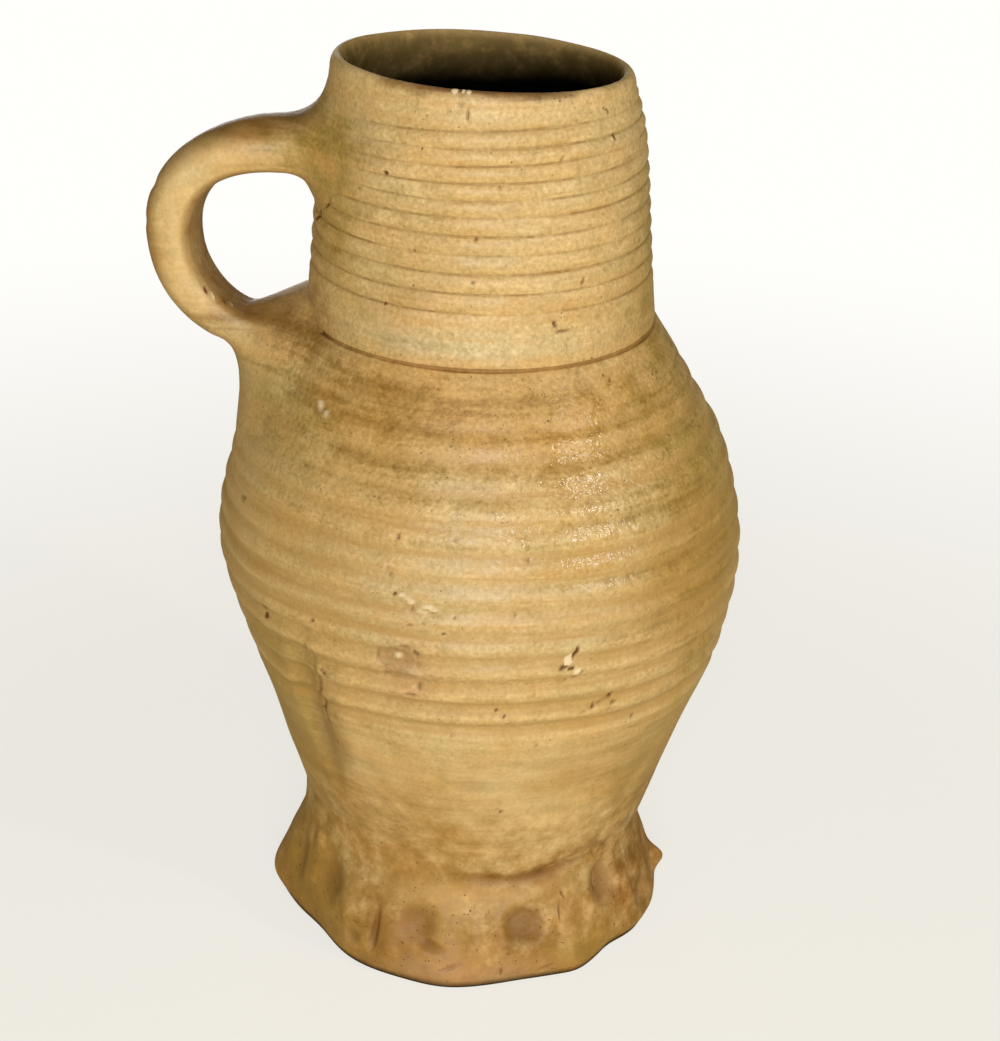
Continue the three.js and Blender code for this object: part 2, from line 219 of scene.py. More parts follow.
# Geometry Nodes: a new tree with named inputs, and what every tree shares
def newTree(name, numbers, others=None):
    tree = bpy.data.node_groups.new(name, "GeometryNodeTree")
    tree.interface.new_socket("Geometry", in_out="INPUT", socket_type="NodeSocketGeometry")
    tree.interface.new_socket("Geometry", in_out="OUTPUT", socket_type="NodeSocketGeometry")
    kinds = {**dict.fromkeys(numbers, "Float"), **(others or {}), "Material": "Material"}
    for label, kind in kinds.items():
        tree.interface.new_socket(label, in_out="INPUT", socket_type="NodeSocket" + kind)
    start = tree.nodes.new("NodeGroupInput")
    given = {socket.name: Wire(tree, socket) for socket in start.outputs if socket.name}
    return tree, given


def endTree(tree, geometry, material):
    whole = geometry.node("GeometryNodeRealizeInstances", {}, {"Geometry": geometry})
    dressed = whole.node("GeometryNodeSetMaterial", {}, {"Geometry": whole, "Material": material})
    end = tree.nodes.new("NodeGroupOutput")
    tree.links.new(dressed.socket, end.inputs["Geometry"])
    return tree


def fact(wire, name):
    return wire.node("GeometryNodeInputNamedAttribute", {"data_type": "FLOAT"}, {"Name": name})


def keepFact(geometry, name, value):
    sockets = {"Geometry": geometry, "Name": name, "Value": value}
    settings = {"data_type": "FLOAT", "domain": "POINT"}
    return geometry.node("GeometryNodeStoreNamedAttribute", settings, sockets)


# Moves each point along its own normal
def raised(geometry, lift):
    normal = geometry.node("GeometryNodeInputNormal")
    offset = normal.node("ShaderNodeVectorMath", {"operation": "SCALE"}, {0: normal, "Scale": lift})
    return geometry.node("GeometryNodeSetPosition", {}, {"Geometry": geometry, "Offset": offset})


# Finger hollows round a thrown wall, fading as the wall rises
def throwingTree():
    tree, given = newTree("throwing hollows", ["First", "Pitch", "Last", "Depth", "Fade", "Wander", "Side"])
    geometry = given["Geometry"]
    place = geometry.node("GeometryNodeInputPosition")
    drift = place.stretched((14, 14, 26)).cloud(1.0, 1.0) - 0.5  # the fingers wandered slowly
    height = fact(geometry, "along") + drift * given["Wander"]
    wave = 0.5 + 0.5 * geometry.math("COSINE", 2 * pi * (height - given["First"]) / given["Pitch"])
    begins = height.rise(given["First"] - given["Pitch"] * 0.8, given["First"])
    ends = height.rise(given["Last"] + given["Pitch"] * 0.5, given["Last"])
    climbed = (height - given["First"]) / (given["Last"] - given["First"])
    # and pressed harder in some places than in others
    patchy = 0.55 + 0.9 * place.stretched((9, 9, 60)).moved((3, 1, 7)).cloud(1.0, 1.0)
    onSide = 1 - geometry.math("ABSOLUTE", fact(geometry, "outside") - given["Side"])
    share = wave * begins * ends * (1 - given["Fade"] * climbed.clipped()) * patchy * onSide
    geometry = raised(geometry, -(share * given["Depth"]))
    geometry = keepFact(geometry, "hollow", share + fact(geometry, "hollow"))
    return endTree(tree, geometry, given["Material"])


# Part of the neck that the handle's clay was smeared over
neckSmear = {"middle": (-40, 0, 207), "reach": (25, 34, 14)}


# Lines scored round the neck, each wandering and breaking up in its own way
def scoringTree():
    numbers = [
        "First", "Pitch", "Last", "Line depth", "Line width", "Rib depth",
        "Wander", "Worn", "Bow", "Slant",
    ]
    tree, given = newTree("scored lines", numbers)
    geometry = given["Geometry"]
    place = geometry.node("GeometryNodeInputPosition")
    height = fact(geometry, "along")
    count = geometry.math("ROUND", (height - given["First"]) / given["Pitch"])
    lastCount = geometry.math("ROUND", (given["Last"] - given["First"]) / given["Pitch"])
    count = geometry.math("MINIMUM", geometry.math("MAXIMUM", count, 0.0), lastCount)
    # each line reads its own layer of a cloud
    x, y = place.parts()[:2]
    ownPlace = geometry.node("ShaderNodeCombineXYZ", {}, {"X": x * 22, "Y": y * 22, "Z": count * 5.3})
    drift = ownPlace.cloud(1.0, 2.0) - 0.5
    offset = height - given["First"] - count * given["Pitch"] + drift * given["Wander"]
    line = (offset / given["Line width"]).bell()
    ribs = 0.5 + 0.5 * geometry.math("COSINE", 2 * pi * offset / given["Pitch"])
    ribs = ribs * (offset / given["Pitch"]).rise(1.0, 0.5) * (offset / given["Pitch"]).rise(-1.0, -0.5)
    smeared = place.awayFrom(**neckSmear).rise(1.5, 0.6)
    wear = ownPlace.moved((4, 9, 2)).cloud(1.4, 3.0, 0.6).rise(0.34, 0.56)
    kept = (1 - given["Worn"] * (1 - wear)) * (1 - 0.95 * smeared) * fact(geometry, "outside")
    geometry = raised(geometry, -(kept * (line * given["Line depth"] + ribs * given["Rib depth"])))
    geometry = keepFact(geometry, "groove", line * kept)
    # the lines bow upwards midway, and the upper ones slant
    climbed = ((height - given["First"]) / (given["Last"] - given["First"])).clipped()
    slanted = given["Slant"] * x * climbed ** 3
    higher = given["Bow"] * geometry.math("SINE", pi * climbed) + slanted
    belowLip = height.rise(given["Last"] + given["Pitch"] * 1.2, given["Last"])
    higher = higher * belowLip * fact(geometry, "outside")
    offset = geometry.node("ShaderNodeCombineXYZ", {}, {"Z": higher})
    geometry = geometry.node("GeometryNodeSetPosition", {}, {"Geometry": geometry, "Offset": offset})
    return endTree(tree, geometry, given["Material"])


# Every mark of a cloud of marks pressed into, or raised on, the skin round it
def markTree():
    tree, given = newTree("marks", ["Radius", "Ragged"], {"Marks": "Object"})
    begin = tree.nodes.new("GeometryNodeRepeatInput")
    finish = tree.nodes.new("GeometryNodeRepeatOutput")
    begin.pair_with_output(finish)
    for name in ("Lift", "Stain", "Chalk"):
        finish.repeat_items.new("FLOAT", name)
    cloud = given["Geometry"].node("GeometryNodeObjectInfo", {}, {"Object": given["Marks"]}, "Geometry")
    count = cloud.node("GeometryNodeAttributeDomainSize", {"component": "MESH"}, {"Geometry": cloud})
    tree.links.new(count.socket, begin.inputs["Iterations"])
    tree.links.new(given["Geometry"].socket, begin.inputs["Geometry"])
    turn = Wire(tree, begin.outputs["Iteration"])

    def of(name):
        sockets = {"Geometry": cloud, "Value": fact(cloud, name), "Index": turn}
        return cloud.node("GeometryNodeSampleIndex", {"data_type": "FLOAT", "domain": "POINT"}, sockets)

    across = fact(turn, "around") - of("around")
    across = across - 2 * pi * turn.math("ROUND", across / (2 * pi))
    across = across * given["Radius"]
    up = fact(turn, "along") - of("along")
    lean = of("lean")
    cosine = turn.math("COSINE", lean)
    sine = turn.math("SINE", lean)
    first = (across * cosine + up * sine) / of("wide")
    second = (up * cosine - across * sine) / of("tall")
    place = turn.node("GeometryNodeInputPosition")
    ragged = (place.cloud(420.0, 3.0) - 0.5) * given["Ragged"]
    away = turn.math("SQRT", first * first + second * second) + ragged * of("crisp")
    share = away.rise(1.0, of("crisp")) * fact(turn, "outside")
    for name, amount in (("Lift", "depth"), ("Stain", "stain"), ("Chalk", "chalk")):
        total = Wire(tree, begin.outputs[name]) + share * of(amount)
        tree.links.new(total.socket, finish.inputs[name])
    tree.links.new(begin.outputs["Geometry"], finish.inputs["Geometry"])
    geometry = raised(Wire(tree, finish.outputs["Geometry"]), Wire(tree, finish.outputs["Lift"]))
    geometry = keepFact(geometry, "stain", Wire(tree, finish.outputs["Stain"]))
    geometry = keepFact(geometry, "chalk", Wire(tree, finish.outputs["Chalk"]))
    return endTree(tree, geometry, given["Material"])


# Uneven hand-made surface, and the set that the jug took in the kiln, which leaves the base flat
def kilnTree():
    numbers = [
        "Uneven", "Grain", "Lean", "Mouth height", "Tilt", "Tilt span",
        "Dent turn", "Dent height", "Dent depth", "Dent tall", "Dent wide", "Dent radius",
    ]
    tree, given = newTree("kiln set", numbers)
    geometry = given["Geometry"]
    place = geometry.node("GeometryNodeInputPosition")
    offFloor = place.parts()[2].rise(0.0, 4 * mm)
    swell = place.stretched((30, 30, 44)).cloud(1.0, 2.0) - 0.5
    grain = place.cloud(420.0, 2.0) - 0.5
    geometry = raised(geometry, offFloor * (swell * given["Uneven"] + grain * given["Grain"]))
    place = geometry.node("GeometryNodeInputPosition")
    x, y, z = place.parts()
    angle = geometry.math("ARCTAN2", y, x)
    turned = angle - given["Dent turn"]
    turned = turned - 2 * pi * geometry.math("ROUND", turned / (2 * pi))
    across = turned * given["Dent radius"] / given["Dent wide"]
    up = (z - given["Dent height"]) / given["Dent tall"]
    dent = across.bell() * up.bell() * given["Dent depth"]
    nearMouth = z.rise(given["Mouth height"] - given["Tilt span"], given["Mouth height"])
    moved = {
        "X": x - dent * geometry.math("COSINE", angle) - given["Lean"] * z,
        "Y": y - dent * geometry.math("SINE", angle),
        "Z": z - given["Tilt"] * (x + y) * nearMouth,
    }
    position = geometry.node("ShaderNodeCombineXYZ", {}, moved)
    geometry = geometry.node("GeometryNodeSetPosition", {}, {"Geometry": geometry, "Position": position})
    return endTree(tree, geometry, given["Material"])


trees = {"throwing": throwingTree(), "scoring": scoringTree(), "marks": markTree(), "kiln": kilnTree()}
kilnSet = {
    "Uneven": 0.9 * mm, "Grain": 0.06 * mm, "Lean": 0.02015, "Mouth height": 222.5 * mm, "Tilt": 0.037,
    "Tilt span": 22 * mm, "Dent turn": math.radians(195), "Dent height": 76 * mm, "Dent depth": 2.6 * mm,
    "Dent tall": 18 * mm, "Dent wide": 26 * mm, "Dent radius": 65 * mm,
}
print("trees:", ", ".join(trees))


# One mark: its place in degrees round and millimetres up, half its width and height, and its lean in
# degrees. Crisp is the share of it at full depth, and stain and chalk say how dark or pale it is.
def mark(around, along, wide, tall, lean=0, crisp=0.1, depth=0, stain=0, chalk=0):
    shape = {"around": around, "along": along, "wide": wide, "tall": tall, "lean": lean}
    return {**shape, "crisp": crisp, "depth": depth, "stain": stain, "chalk": chalk}


# Small dark pit or crumb of iron at each place
def pits(places, size, stain=1.0):
    shape = {"wide": size, "tall": size * 1.2, "crisp": 0.3, "depth": -0.35, "stain": stain}
    return [mark(around, along, **shape) for around, along in places]


# Points that carry one mark each
def markCloud(name, marks):
    mesh = bpy.data.meshes.new(name)
    mesh.from_pydata([(0, 0, i * mm) for i in range(len(marks))], [], [])
    unit = {"around": pi / 180, "lean": pi / 180, "along": mm, "wide": mm, "tall": mm, "depth": mm}
    for key in marks[0]:
        values = [row[key] * unit.get(key, 1) for row in marks]
        mesh.attributes.new(key, "FLOAT", "POINT").data.foreach_set("value", values)
    return newObject(name, mesh)


# A step of work: the marks, the radius that they lie at and how ragged their edges are
def markStep(name, marks, size):
    cloud = markCloud(name, marks)
    return "marks", {"Marks": cloud, "Radius": size["markRadius"] * mm, "Ragged": size["markRaggedness"]}


# Runs a piece through its trees and keeps the result as a plain mesh
def work(piece, material, steps):
    for name, values in steps:
        tree = trees[name]
        given = {**values, "Material": material}
        modifier = piece.modifiers.new(name, "NODES")
        modifier.node_group = tree
        for item in tree.interface.items_tree:
            if item.in_out == "INPUT" and item.name in given:
                modifier[item.identifier] = given[item.name]
    bpy.context.view_layer.update()
    graph = bpy.context.evaluated_depsgraph_get()
    finished = piece.evaluated_get(graph)
    mesh = bpy.data.meshes.new_from_object(finished, preserve_all_data_layers=True, depsgraph=graph)
    piece.modifiers.clear()
    piece.data = mesh
    for _, values in steps:
        if "Marks" in values:
            bpy.data.objects.remove(values["Marks"])
    print(piece.name, "faces:", len(mesh.polygons))
    return piece


def settle(piece, nodes):
    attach(piece, "root")
    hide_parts(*nodes)


# Fired clay, in the levels from 0 to 255 that a screen shows
def screenColour(*levels):
    linear = [((level / 255 + 0.055) / 1.055) ** 2.4 for level in levels]
    return (*linear, 1.0)


clay = {
    "buff": screenColour(219, 191, 138),
    "tan": screenColour(203, 168, 108),
    "olive": screenColour(156, 131, 47),
    "grey": screenColour(206, 194, 156),
    "pink": screenColour(200, 160, 124),
    "orange": screenColour(184, 139, 62),
    "ochre": screenColour(160, 113, 30),
    "umber": screenColour(181, 142, 80),
    "brown": screenColour(134, 89, 20),
    "rust": screenColour(106, 64, 20),
    "line": screenColour(128, 92, 28),
    "speck": screenColour(92, 56, 24),
    "chalk": screenColour(238, 218, 182),
    # the inside's colours are painted shade: darkened clay, and near black deep in the neck
    "inside": screenColour(116, 96, 56),
    "deep": screenColour(5, 3, 2),
}

# Drifts of colour over the jug, of ash and flame and, where marked below, of painted shade: tint, strength,
# middle and reach in millimetres
kilnDrifts = [
    # handle: its top, its back, its inner face and its lower end
    ("brown", 1.0, (-64, 0, 211), (32, 15, 11)),
    ("umber", 1.0, (-85, -7, 178), (8, 14, 36)),
    ("brown", 0.8, (-50, -4, 160), (24, 24, 9)),
    ("brown", 0.5, (-42, -14, 161), (16, 20, 9)),
    ("rust", 0.3, (-46, -12, 158), (18, 20, 6)),
    ("olive", 0.7, (-40, -20, 200), (14, 16, 20)),
    # shoulder and flanks; the olive on the left shoulder and the olive, ochre and brown on the flanks are
    # painted shade where the light falls off round the sides
    ("olive", 0.55, (-52, -28, 145), (24, 24, 18)),
    ("orange", 0.75, (-4, -42, 152), (70, 34, 14)),
    ("brown", 0.42, (-20, -44, 153), (30, 22, 8)),
    ("olive", 0.65, (54, -28, 128), (24, 34, 38)),
    ("ochre", 0.5, (46, -40, 112), (22, 24, 20)),
    ("olive", 0.4, (50, -20, 60), (22, 30, 26)),
    ("olive", 0.6, (-46, -30, 70), (16, 22, 40)),
    ("brown", 0.5, (-36, -42, 66), (6, 9, 30)),
    # neck foot, lip and pale patches, and olive on the neck's right side as painted shade
    ("grey", 0.55, (-4, -44, 166), (56, 20, 5)),
    ("olive", 0.6, (42, -8, 190), (12, 26, 32)),
    ("rust", 1.0, (-4, -33, 224), (32, 3.5, 2.6)),
    ("rust", 0.8, (13, -29, 223), (14, 4, 2.4)),
    ("brown", 0.8, (-23, -28, 223.8), (12, 5, 2.4)),
    ("grey", 0.5, (-18, -58, 112), (18, 16, 12)),
    ("pink", 1.0, (-17, -60, 94), (8, 12, 10)),
    ("grey", 0.35, (12, -60, 108), (26, 14, 14)),
    ("buff", 0.5, (0, -70, 98), (40, 30, 24)),
    # foot; the brown in two thumb presses is partly the clay's colour and partly painted shade, and the
    # brown along the crease under the wall is painted shadow
    ("ochre", 0.7, (0, 0, 0), (200, 200, 60)),
    ("olive", 0.35, (-46, -26, 16), (20, 24, 16)),
    ("brown", 1.0, (48, -20, 20), (18, 30, 20)),
    ("brown", 0.6, (14, -50, 14), (13, 12, 11)),
    ("brown", 0.5, (-22, -46, 12), (9, 12, 12)),
    ("olive", 0.5, (30, -38, 6), (16, 14, 8)),
    ("brown", 0.6, (10, -44, 28.5), (16, 12, 2.6)),
    ("brown", 0.6, (28, -36, 31.5), (10, 12, 2.8)),
    ("tan", 0.6, (2, -48, 23), (30, 12, 4)),
    ("pink", 0.5, (2, -50, 3), (26, 12, 6)),
]
glazeWet = {"middle": (27, -53, 133), "reach": (22, 26, 23)}

# Where the finish changes, in millimetres across or up: none at the first figure, all at the second
finishZones = {
    "foot": (60, 32), "lowestFoot": (40, 20), "lowWall": (100, 70), "aboveWaist": (70, 120),
    "lively": (60, 90), "shoulderFoot": (118, 142), "shoulderTop": (166, 158), "paintedShadeInside": (223.5, 208),
    "strapSide": (-58, -66), "strapHeight": (140, 150), "handleSide": (-46, -60),
    "rootSide": (-28, -46), "rootHeight": (125, 140),
}
# Iron specks: how many cells they have to a metre, and how far each reaches in its cell
speckSizes = [(520.0, 0.2), (1050.0, 0.28)]


def newMaterial(name):
    material = bpy.data.materials.new(name)
    material.use_nodes = True
    material.node_tree.nodes.clear()
    return material, Wire(material.node_tree)


def stoneware(name, look):
    material, sheet = newMaterial(name)
    place = sheet.node("ShaderNodeTexCoord", output="Object")
    x, _, z = place.parts()

    def mixed(share, first, second, blend="MIX"):
        settings = {"data_type": "RGBA", "blend_type": blend}
        return sheet.node("ShaderNodeMix", settings, {0: share, 6: first, 7: second}, 2)

    def masked(attribute):
        return sheet.node("ShaderNodeAttribute", {"attribute_name": attribute}, output="Fac")

    def zone(axis, label):
        none, whole = finishZones[label]
        return axis.rise(none * mm, whole * mm)

    wide = place.cloud(26.0, 3.0, 0.6)  # patches of some forty millimetres
    streaks = place.stretched((15, 15, 330)).cloud(1.0, 3.0, 0.65)  # long round the wheel
    mottle = place.cloud(190.0, 3.0, 0.7)  # blotches of some five millimetres
    grain = place.cloud(1000.0, 2.0, 0.6)  # and of one millimetre
    darker = place.moved((1, 2, 3)).cloud(17.0, 3.0, 0.6).rise(0.5, 0.7)
    pinker = place.moved((5, 1, 2)).cloud(30.0, 3.0, 0.7).rise(0.56, 0.74)
    colour = mixed(0.2 + 0.6 * wide.rise(0.36, 0.64), clay["tan"], clay["buff"])
    colour = mixed(darker * 0.35, colour, clay["umber"])
    colour = mixed(pinker * 0.3, colour, clay["pink"])
    # the foot was pressed, not thrown: blotches there, and streaks above it
    pressed = zone(z, "foot")
    blotched = (mottle - 0.5) * (0.5 + 1.3 * pressed)
    streaked = (streaks - 0.5) * (1.2 - 0.5 * zone(z, "lowWall") - 0.4 * pressed)
    frayed = (wide - 0.5) * 1.6 + blotched + streaked
    for tint, strength, middle, reach in kilnDrifts:
        share = (place.awayFrom(middle, reach) + frayed).rise(1.35, 0.2)
        colour = mixed(share * strength, colour, clay[tint])
    # wiped streaks that follow the wheel, strongest above the waist
    thrown = 1 - zone(x, "strapSide") * zone(z, "strapHeight")
    wiped = streaks.rise(0.44, 0.66) * zone(z, "aboveWaist") * thrown * look["streaks"]
    colour = mixed((wiped * (0.3 + mottle.rise(0.35, 0.65))).clipped(), colour, clay["umber"])
    colour = mixed(look["tinted"], colour, clay[look["tint"]])
    # shade, in which darker clay is also warmer
    shoulder = zone(z, "shoulderFoot") * zone(z, "shoulderTop")
    calm = (0.45 + 0.55 * zone(z, "lively")) * (1 - 0.5 * zone(x, "handleSide"))
    uneven = (streaks - 0.5) * thrown * look["streaks"] + (mottle - 0.5) * look["mottle"]
    uneven = uneven + (grain - 0.5) * look["grain"]
    shade = 1 + uneven * calm * (1 + 0.4 * shoulder) + (mottle - 0.5) * pressed * 0.35
    warm = (place.moved((9, 4, 1)).stretched((70, 70, 140)).cloud(1.0, 1.0) - 0.5) * look["warmth"]
    shades = {"Red": shade * (1 + warm), "Green": shade ** 1.16, "Blue": shade ** 1.7 * (1 - warm)}
    colour = mixed(1.0, colour, sheet.node("ShaderNodeCombineColor", {}, shades), "MULTIPLY")
    # iron specks of two sizes, thickest on the shoulder and the foot
    crowd = place.moved((7, 7, 7)).cloud(70.0, 3.0, 0.7).rise(0.42, 0.7)
    crowd = crowd + shoulder * 0.6 + zone(z, "lowestFoot") * 0.8
    bent = place.moved((grain - 0.5) * (0.6 * mm))
    specks = 0.0
    for scale, reach in speckSizes:
        cells = bent.node("ShaderNodeTexVoronoi", {"feature": "F1"}, {"Vector": bent, "Scale": scale})
        chosen = place.moved((2, 8, 5)).cloud(scale * 0.6, 1.0).rise(0.5, 0.66)
        specks = specks + (reach * chosen - cells).rise(0.0, 0.14)
    specks = (specks * crowd).clipped()
    colour = mixed(specks * look["specks"], colour, clay["speck"])
    # what the mesh carries: hollows, browned edges, scored lines, stains and chips, with painted shade and
    # glints among them as marked below
    underRoot = zone(x, "rootSide") * zone(z, "rootHeight")
    # painted shade: umber darkens the finger hollows, except under the handle's root
    inHollow = masked("hollow").rise(0.0, 0.7) * (0.3 + streaks.rise(0.3, 0.65)) * 0.55
    colour = mixed(inHollow * (1 - underRoot), colour, clay["umber"])
    # painted shade on the handle's inner face, and flame brown on its outer edge
    burnAndShade = masked("burnAndShade") * (0.35 + mottle.rise(0.35, 0.65) * 0.35)
    colour = mixed(burnAndShade, colour, clay["brown"])
    inLine = masked("groove").rise(0.1, 0.9) * (0.5 + 0.7 * mottle.rise(0.4, 0.65))
    colour = mixed((inLine * look["lines"]).clipped(), colour, clay["line"])
    # real stains, with painted shadow in the foot's crease and partly painted shade in its thumb presses
    stainedAndShaded = masked("stain") * (0.6 + 0.7 * mottle.rise(0.36, 0.6))
    colour = mixed(stainedAndShaded.clipped(), colour, clay["rust"])
    # pale chips, and painted glints on the lip
    colour = mixed(masked("chalk").clipped(), colour, clay["chalk"])
    # painted shade: the inside's colour is darkened, and darkens further below the lip to near black, along
    # an uneven edge
    shadeEdge = z + (wide - 0.5) * (14 * mm) + (mottle - 0.5) * (3 * mm) - x * 0.06
    insideShade = zone(shadeEdge, "paintedShadeInside")
    shadedInside = mixed(mottle.rise(0.42, 0.8) * 0.4, clay["inside"], clay["tan"])
    colour = mixed(1 - masked("outside"), colour, mixed(insideShade, shadedInside, clay["deep"]))
    # the glaze lies thickest where the fire passed
    wetness = (place.awayFrom(**glazeWet) + (mottle - 0.5) * 1.2).rise(1.4, 0.5)
    gloss = look["roughness"] + (mottle - 0.5) * 0.4 + (wide - 0.5) * 0.25 - wetness * 0.25
    peel = place.cloud(900.0, 2.0, 0.5) * (0.45 + 0.6 * wetness)
    fine = (grain * 0.35 + place.cloud(2600.0, 2.0) * 0.2) * (1 - 0.6 * wetness)
    height = (peel + fine) * calm - specks * 0.2
    relief = {"Height": height, "Strength": 0.6, "Distance": look["bump"] * mm}
    bump = sheet.node("ShaderNodeBump", {}, relief)
    coat = {"Base Color": colour, "Roughness": gloss.clipped(), "Normal": bump}
    glazed = sheet.node("ShaderNodeBsdfPrincipled", {}, coat)
    bare = sheet.node("ShaderNodeBsdfDiffuse", {}, {"Color": colour})
    shader = sheet.node("ShaderNodeMixShader", {}, {0: masked("outside"), 1: bare, 2: glazed})
    sheet.node("ShaderNodeOutputMaterial", {}, {"Surface": shader})
    return material


looks = {
    "belly": {
        "streaks": 0.8, "mottle": 0.7, "grain": 0.7, "specks": 0.85, "warmth": 0.16, "lines": 0.0,
        "tint": "tan", "tinted": 0.1, "roughness": 0.46, "bump": 0.4,
    },
    "neck": {
        "streaks": 0.65, "mottle": 0.75, "grain": 0.8, "specks": 0.95, "warmth": 0.16, "lines": 0.58,
        "tint": "buff", "tinted": 0.1, "roughness": 0.48, "bump": 0.36,
    },
    "handle": {
        "streaks": 0.7, "mottle": 0.75, "grain": 0.8, "specks": 0.9, "warmth": 0.22, "lines": 0.0,
        "tint": "tan", "tinted": 0.1, "roughness": 0.47, "bump": 0.36,
    },
    "frill": {
        "streaks": 0.2, "mottle": 0.9, "grain": 0.4, "specks": 1.0, "warmth": 0.24, "lines": 0.0,
        "tint": "ochre", "tinted": 0.15, "roughness": 0.58, "bump": 0.36,
    },
    "slip": {
        "streaks": 0.0, "mottle": 0.6, "grain": 0.5, "specks": 0.3, "warmth": 0.0, "lines": 0.0,
        "tint": "brown", "tinted": 0.75, "roughness": 0.75, "bump": 0.3,
    },
}
materials = {name: stoneware(name + " clay", look) for name, look in looks.items()}
print("materials:", ", ".join(materials))


# Belly
bellySizes = {
    "outline": [
        (0, 38.5), (18, 39.2), (36, 44.8), (58, 52.4), (82, 61.6),
        (104, 65), (128, 60.6), (145, 51.7), (160.6, 42.4),
    ],
    "wall": 5, "floor": 7, "floorFillet": (7, 6), "baseEdge": 1.5, "seatEdge": 0.5,
    "sides": 360, "plainStep": 1.0, "handledStep": 0.7, "handledFrom": 60, "innerStep": 4.2,
    "baseStep": 3, "floorStep": 4, "baseEdgeRows": 6, "seatEdgeRows": 5, "filletRows": 7,
    "markRadius": 58, "markRaggedness": 0.7,
}
bellyHollows = {
    "First": 78.4 * mm, "Pitch": 6.45 * mm, "Last": 148 * mm, "Depth": 0.95 * mm, "Fade": 0.6,
    "Wander": 5 * mm, "Side": 1.0,
}
innerHollows = {
    "First": 20 * mm, "Pitch": 7.5 * mm, "Last": 215 * mm, "Depth": 0.6 * mm, "Fade": 0.2,
    "Wander": 6 * mm, "Side": 0.0,
}
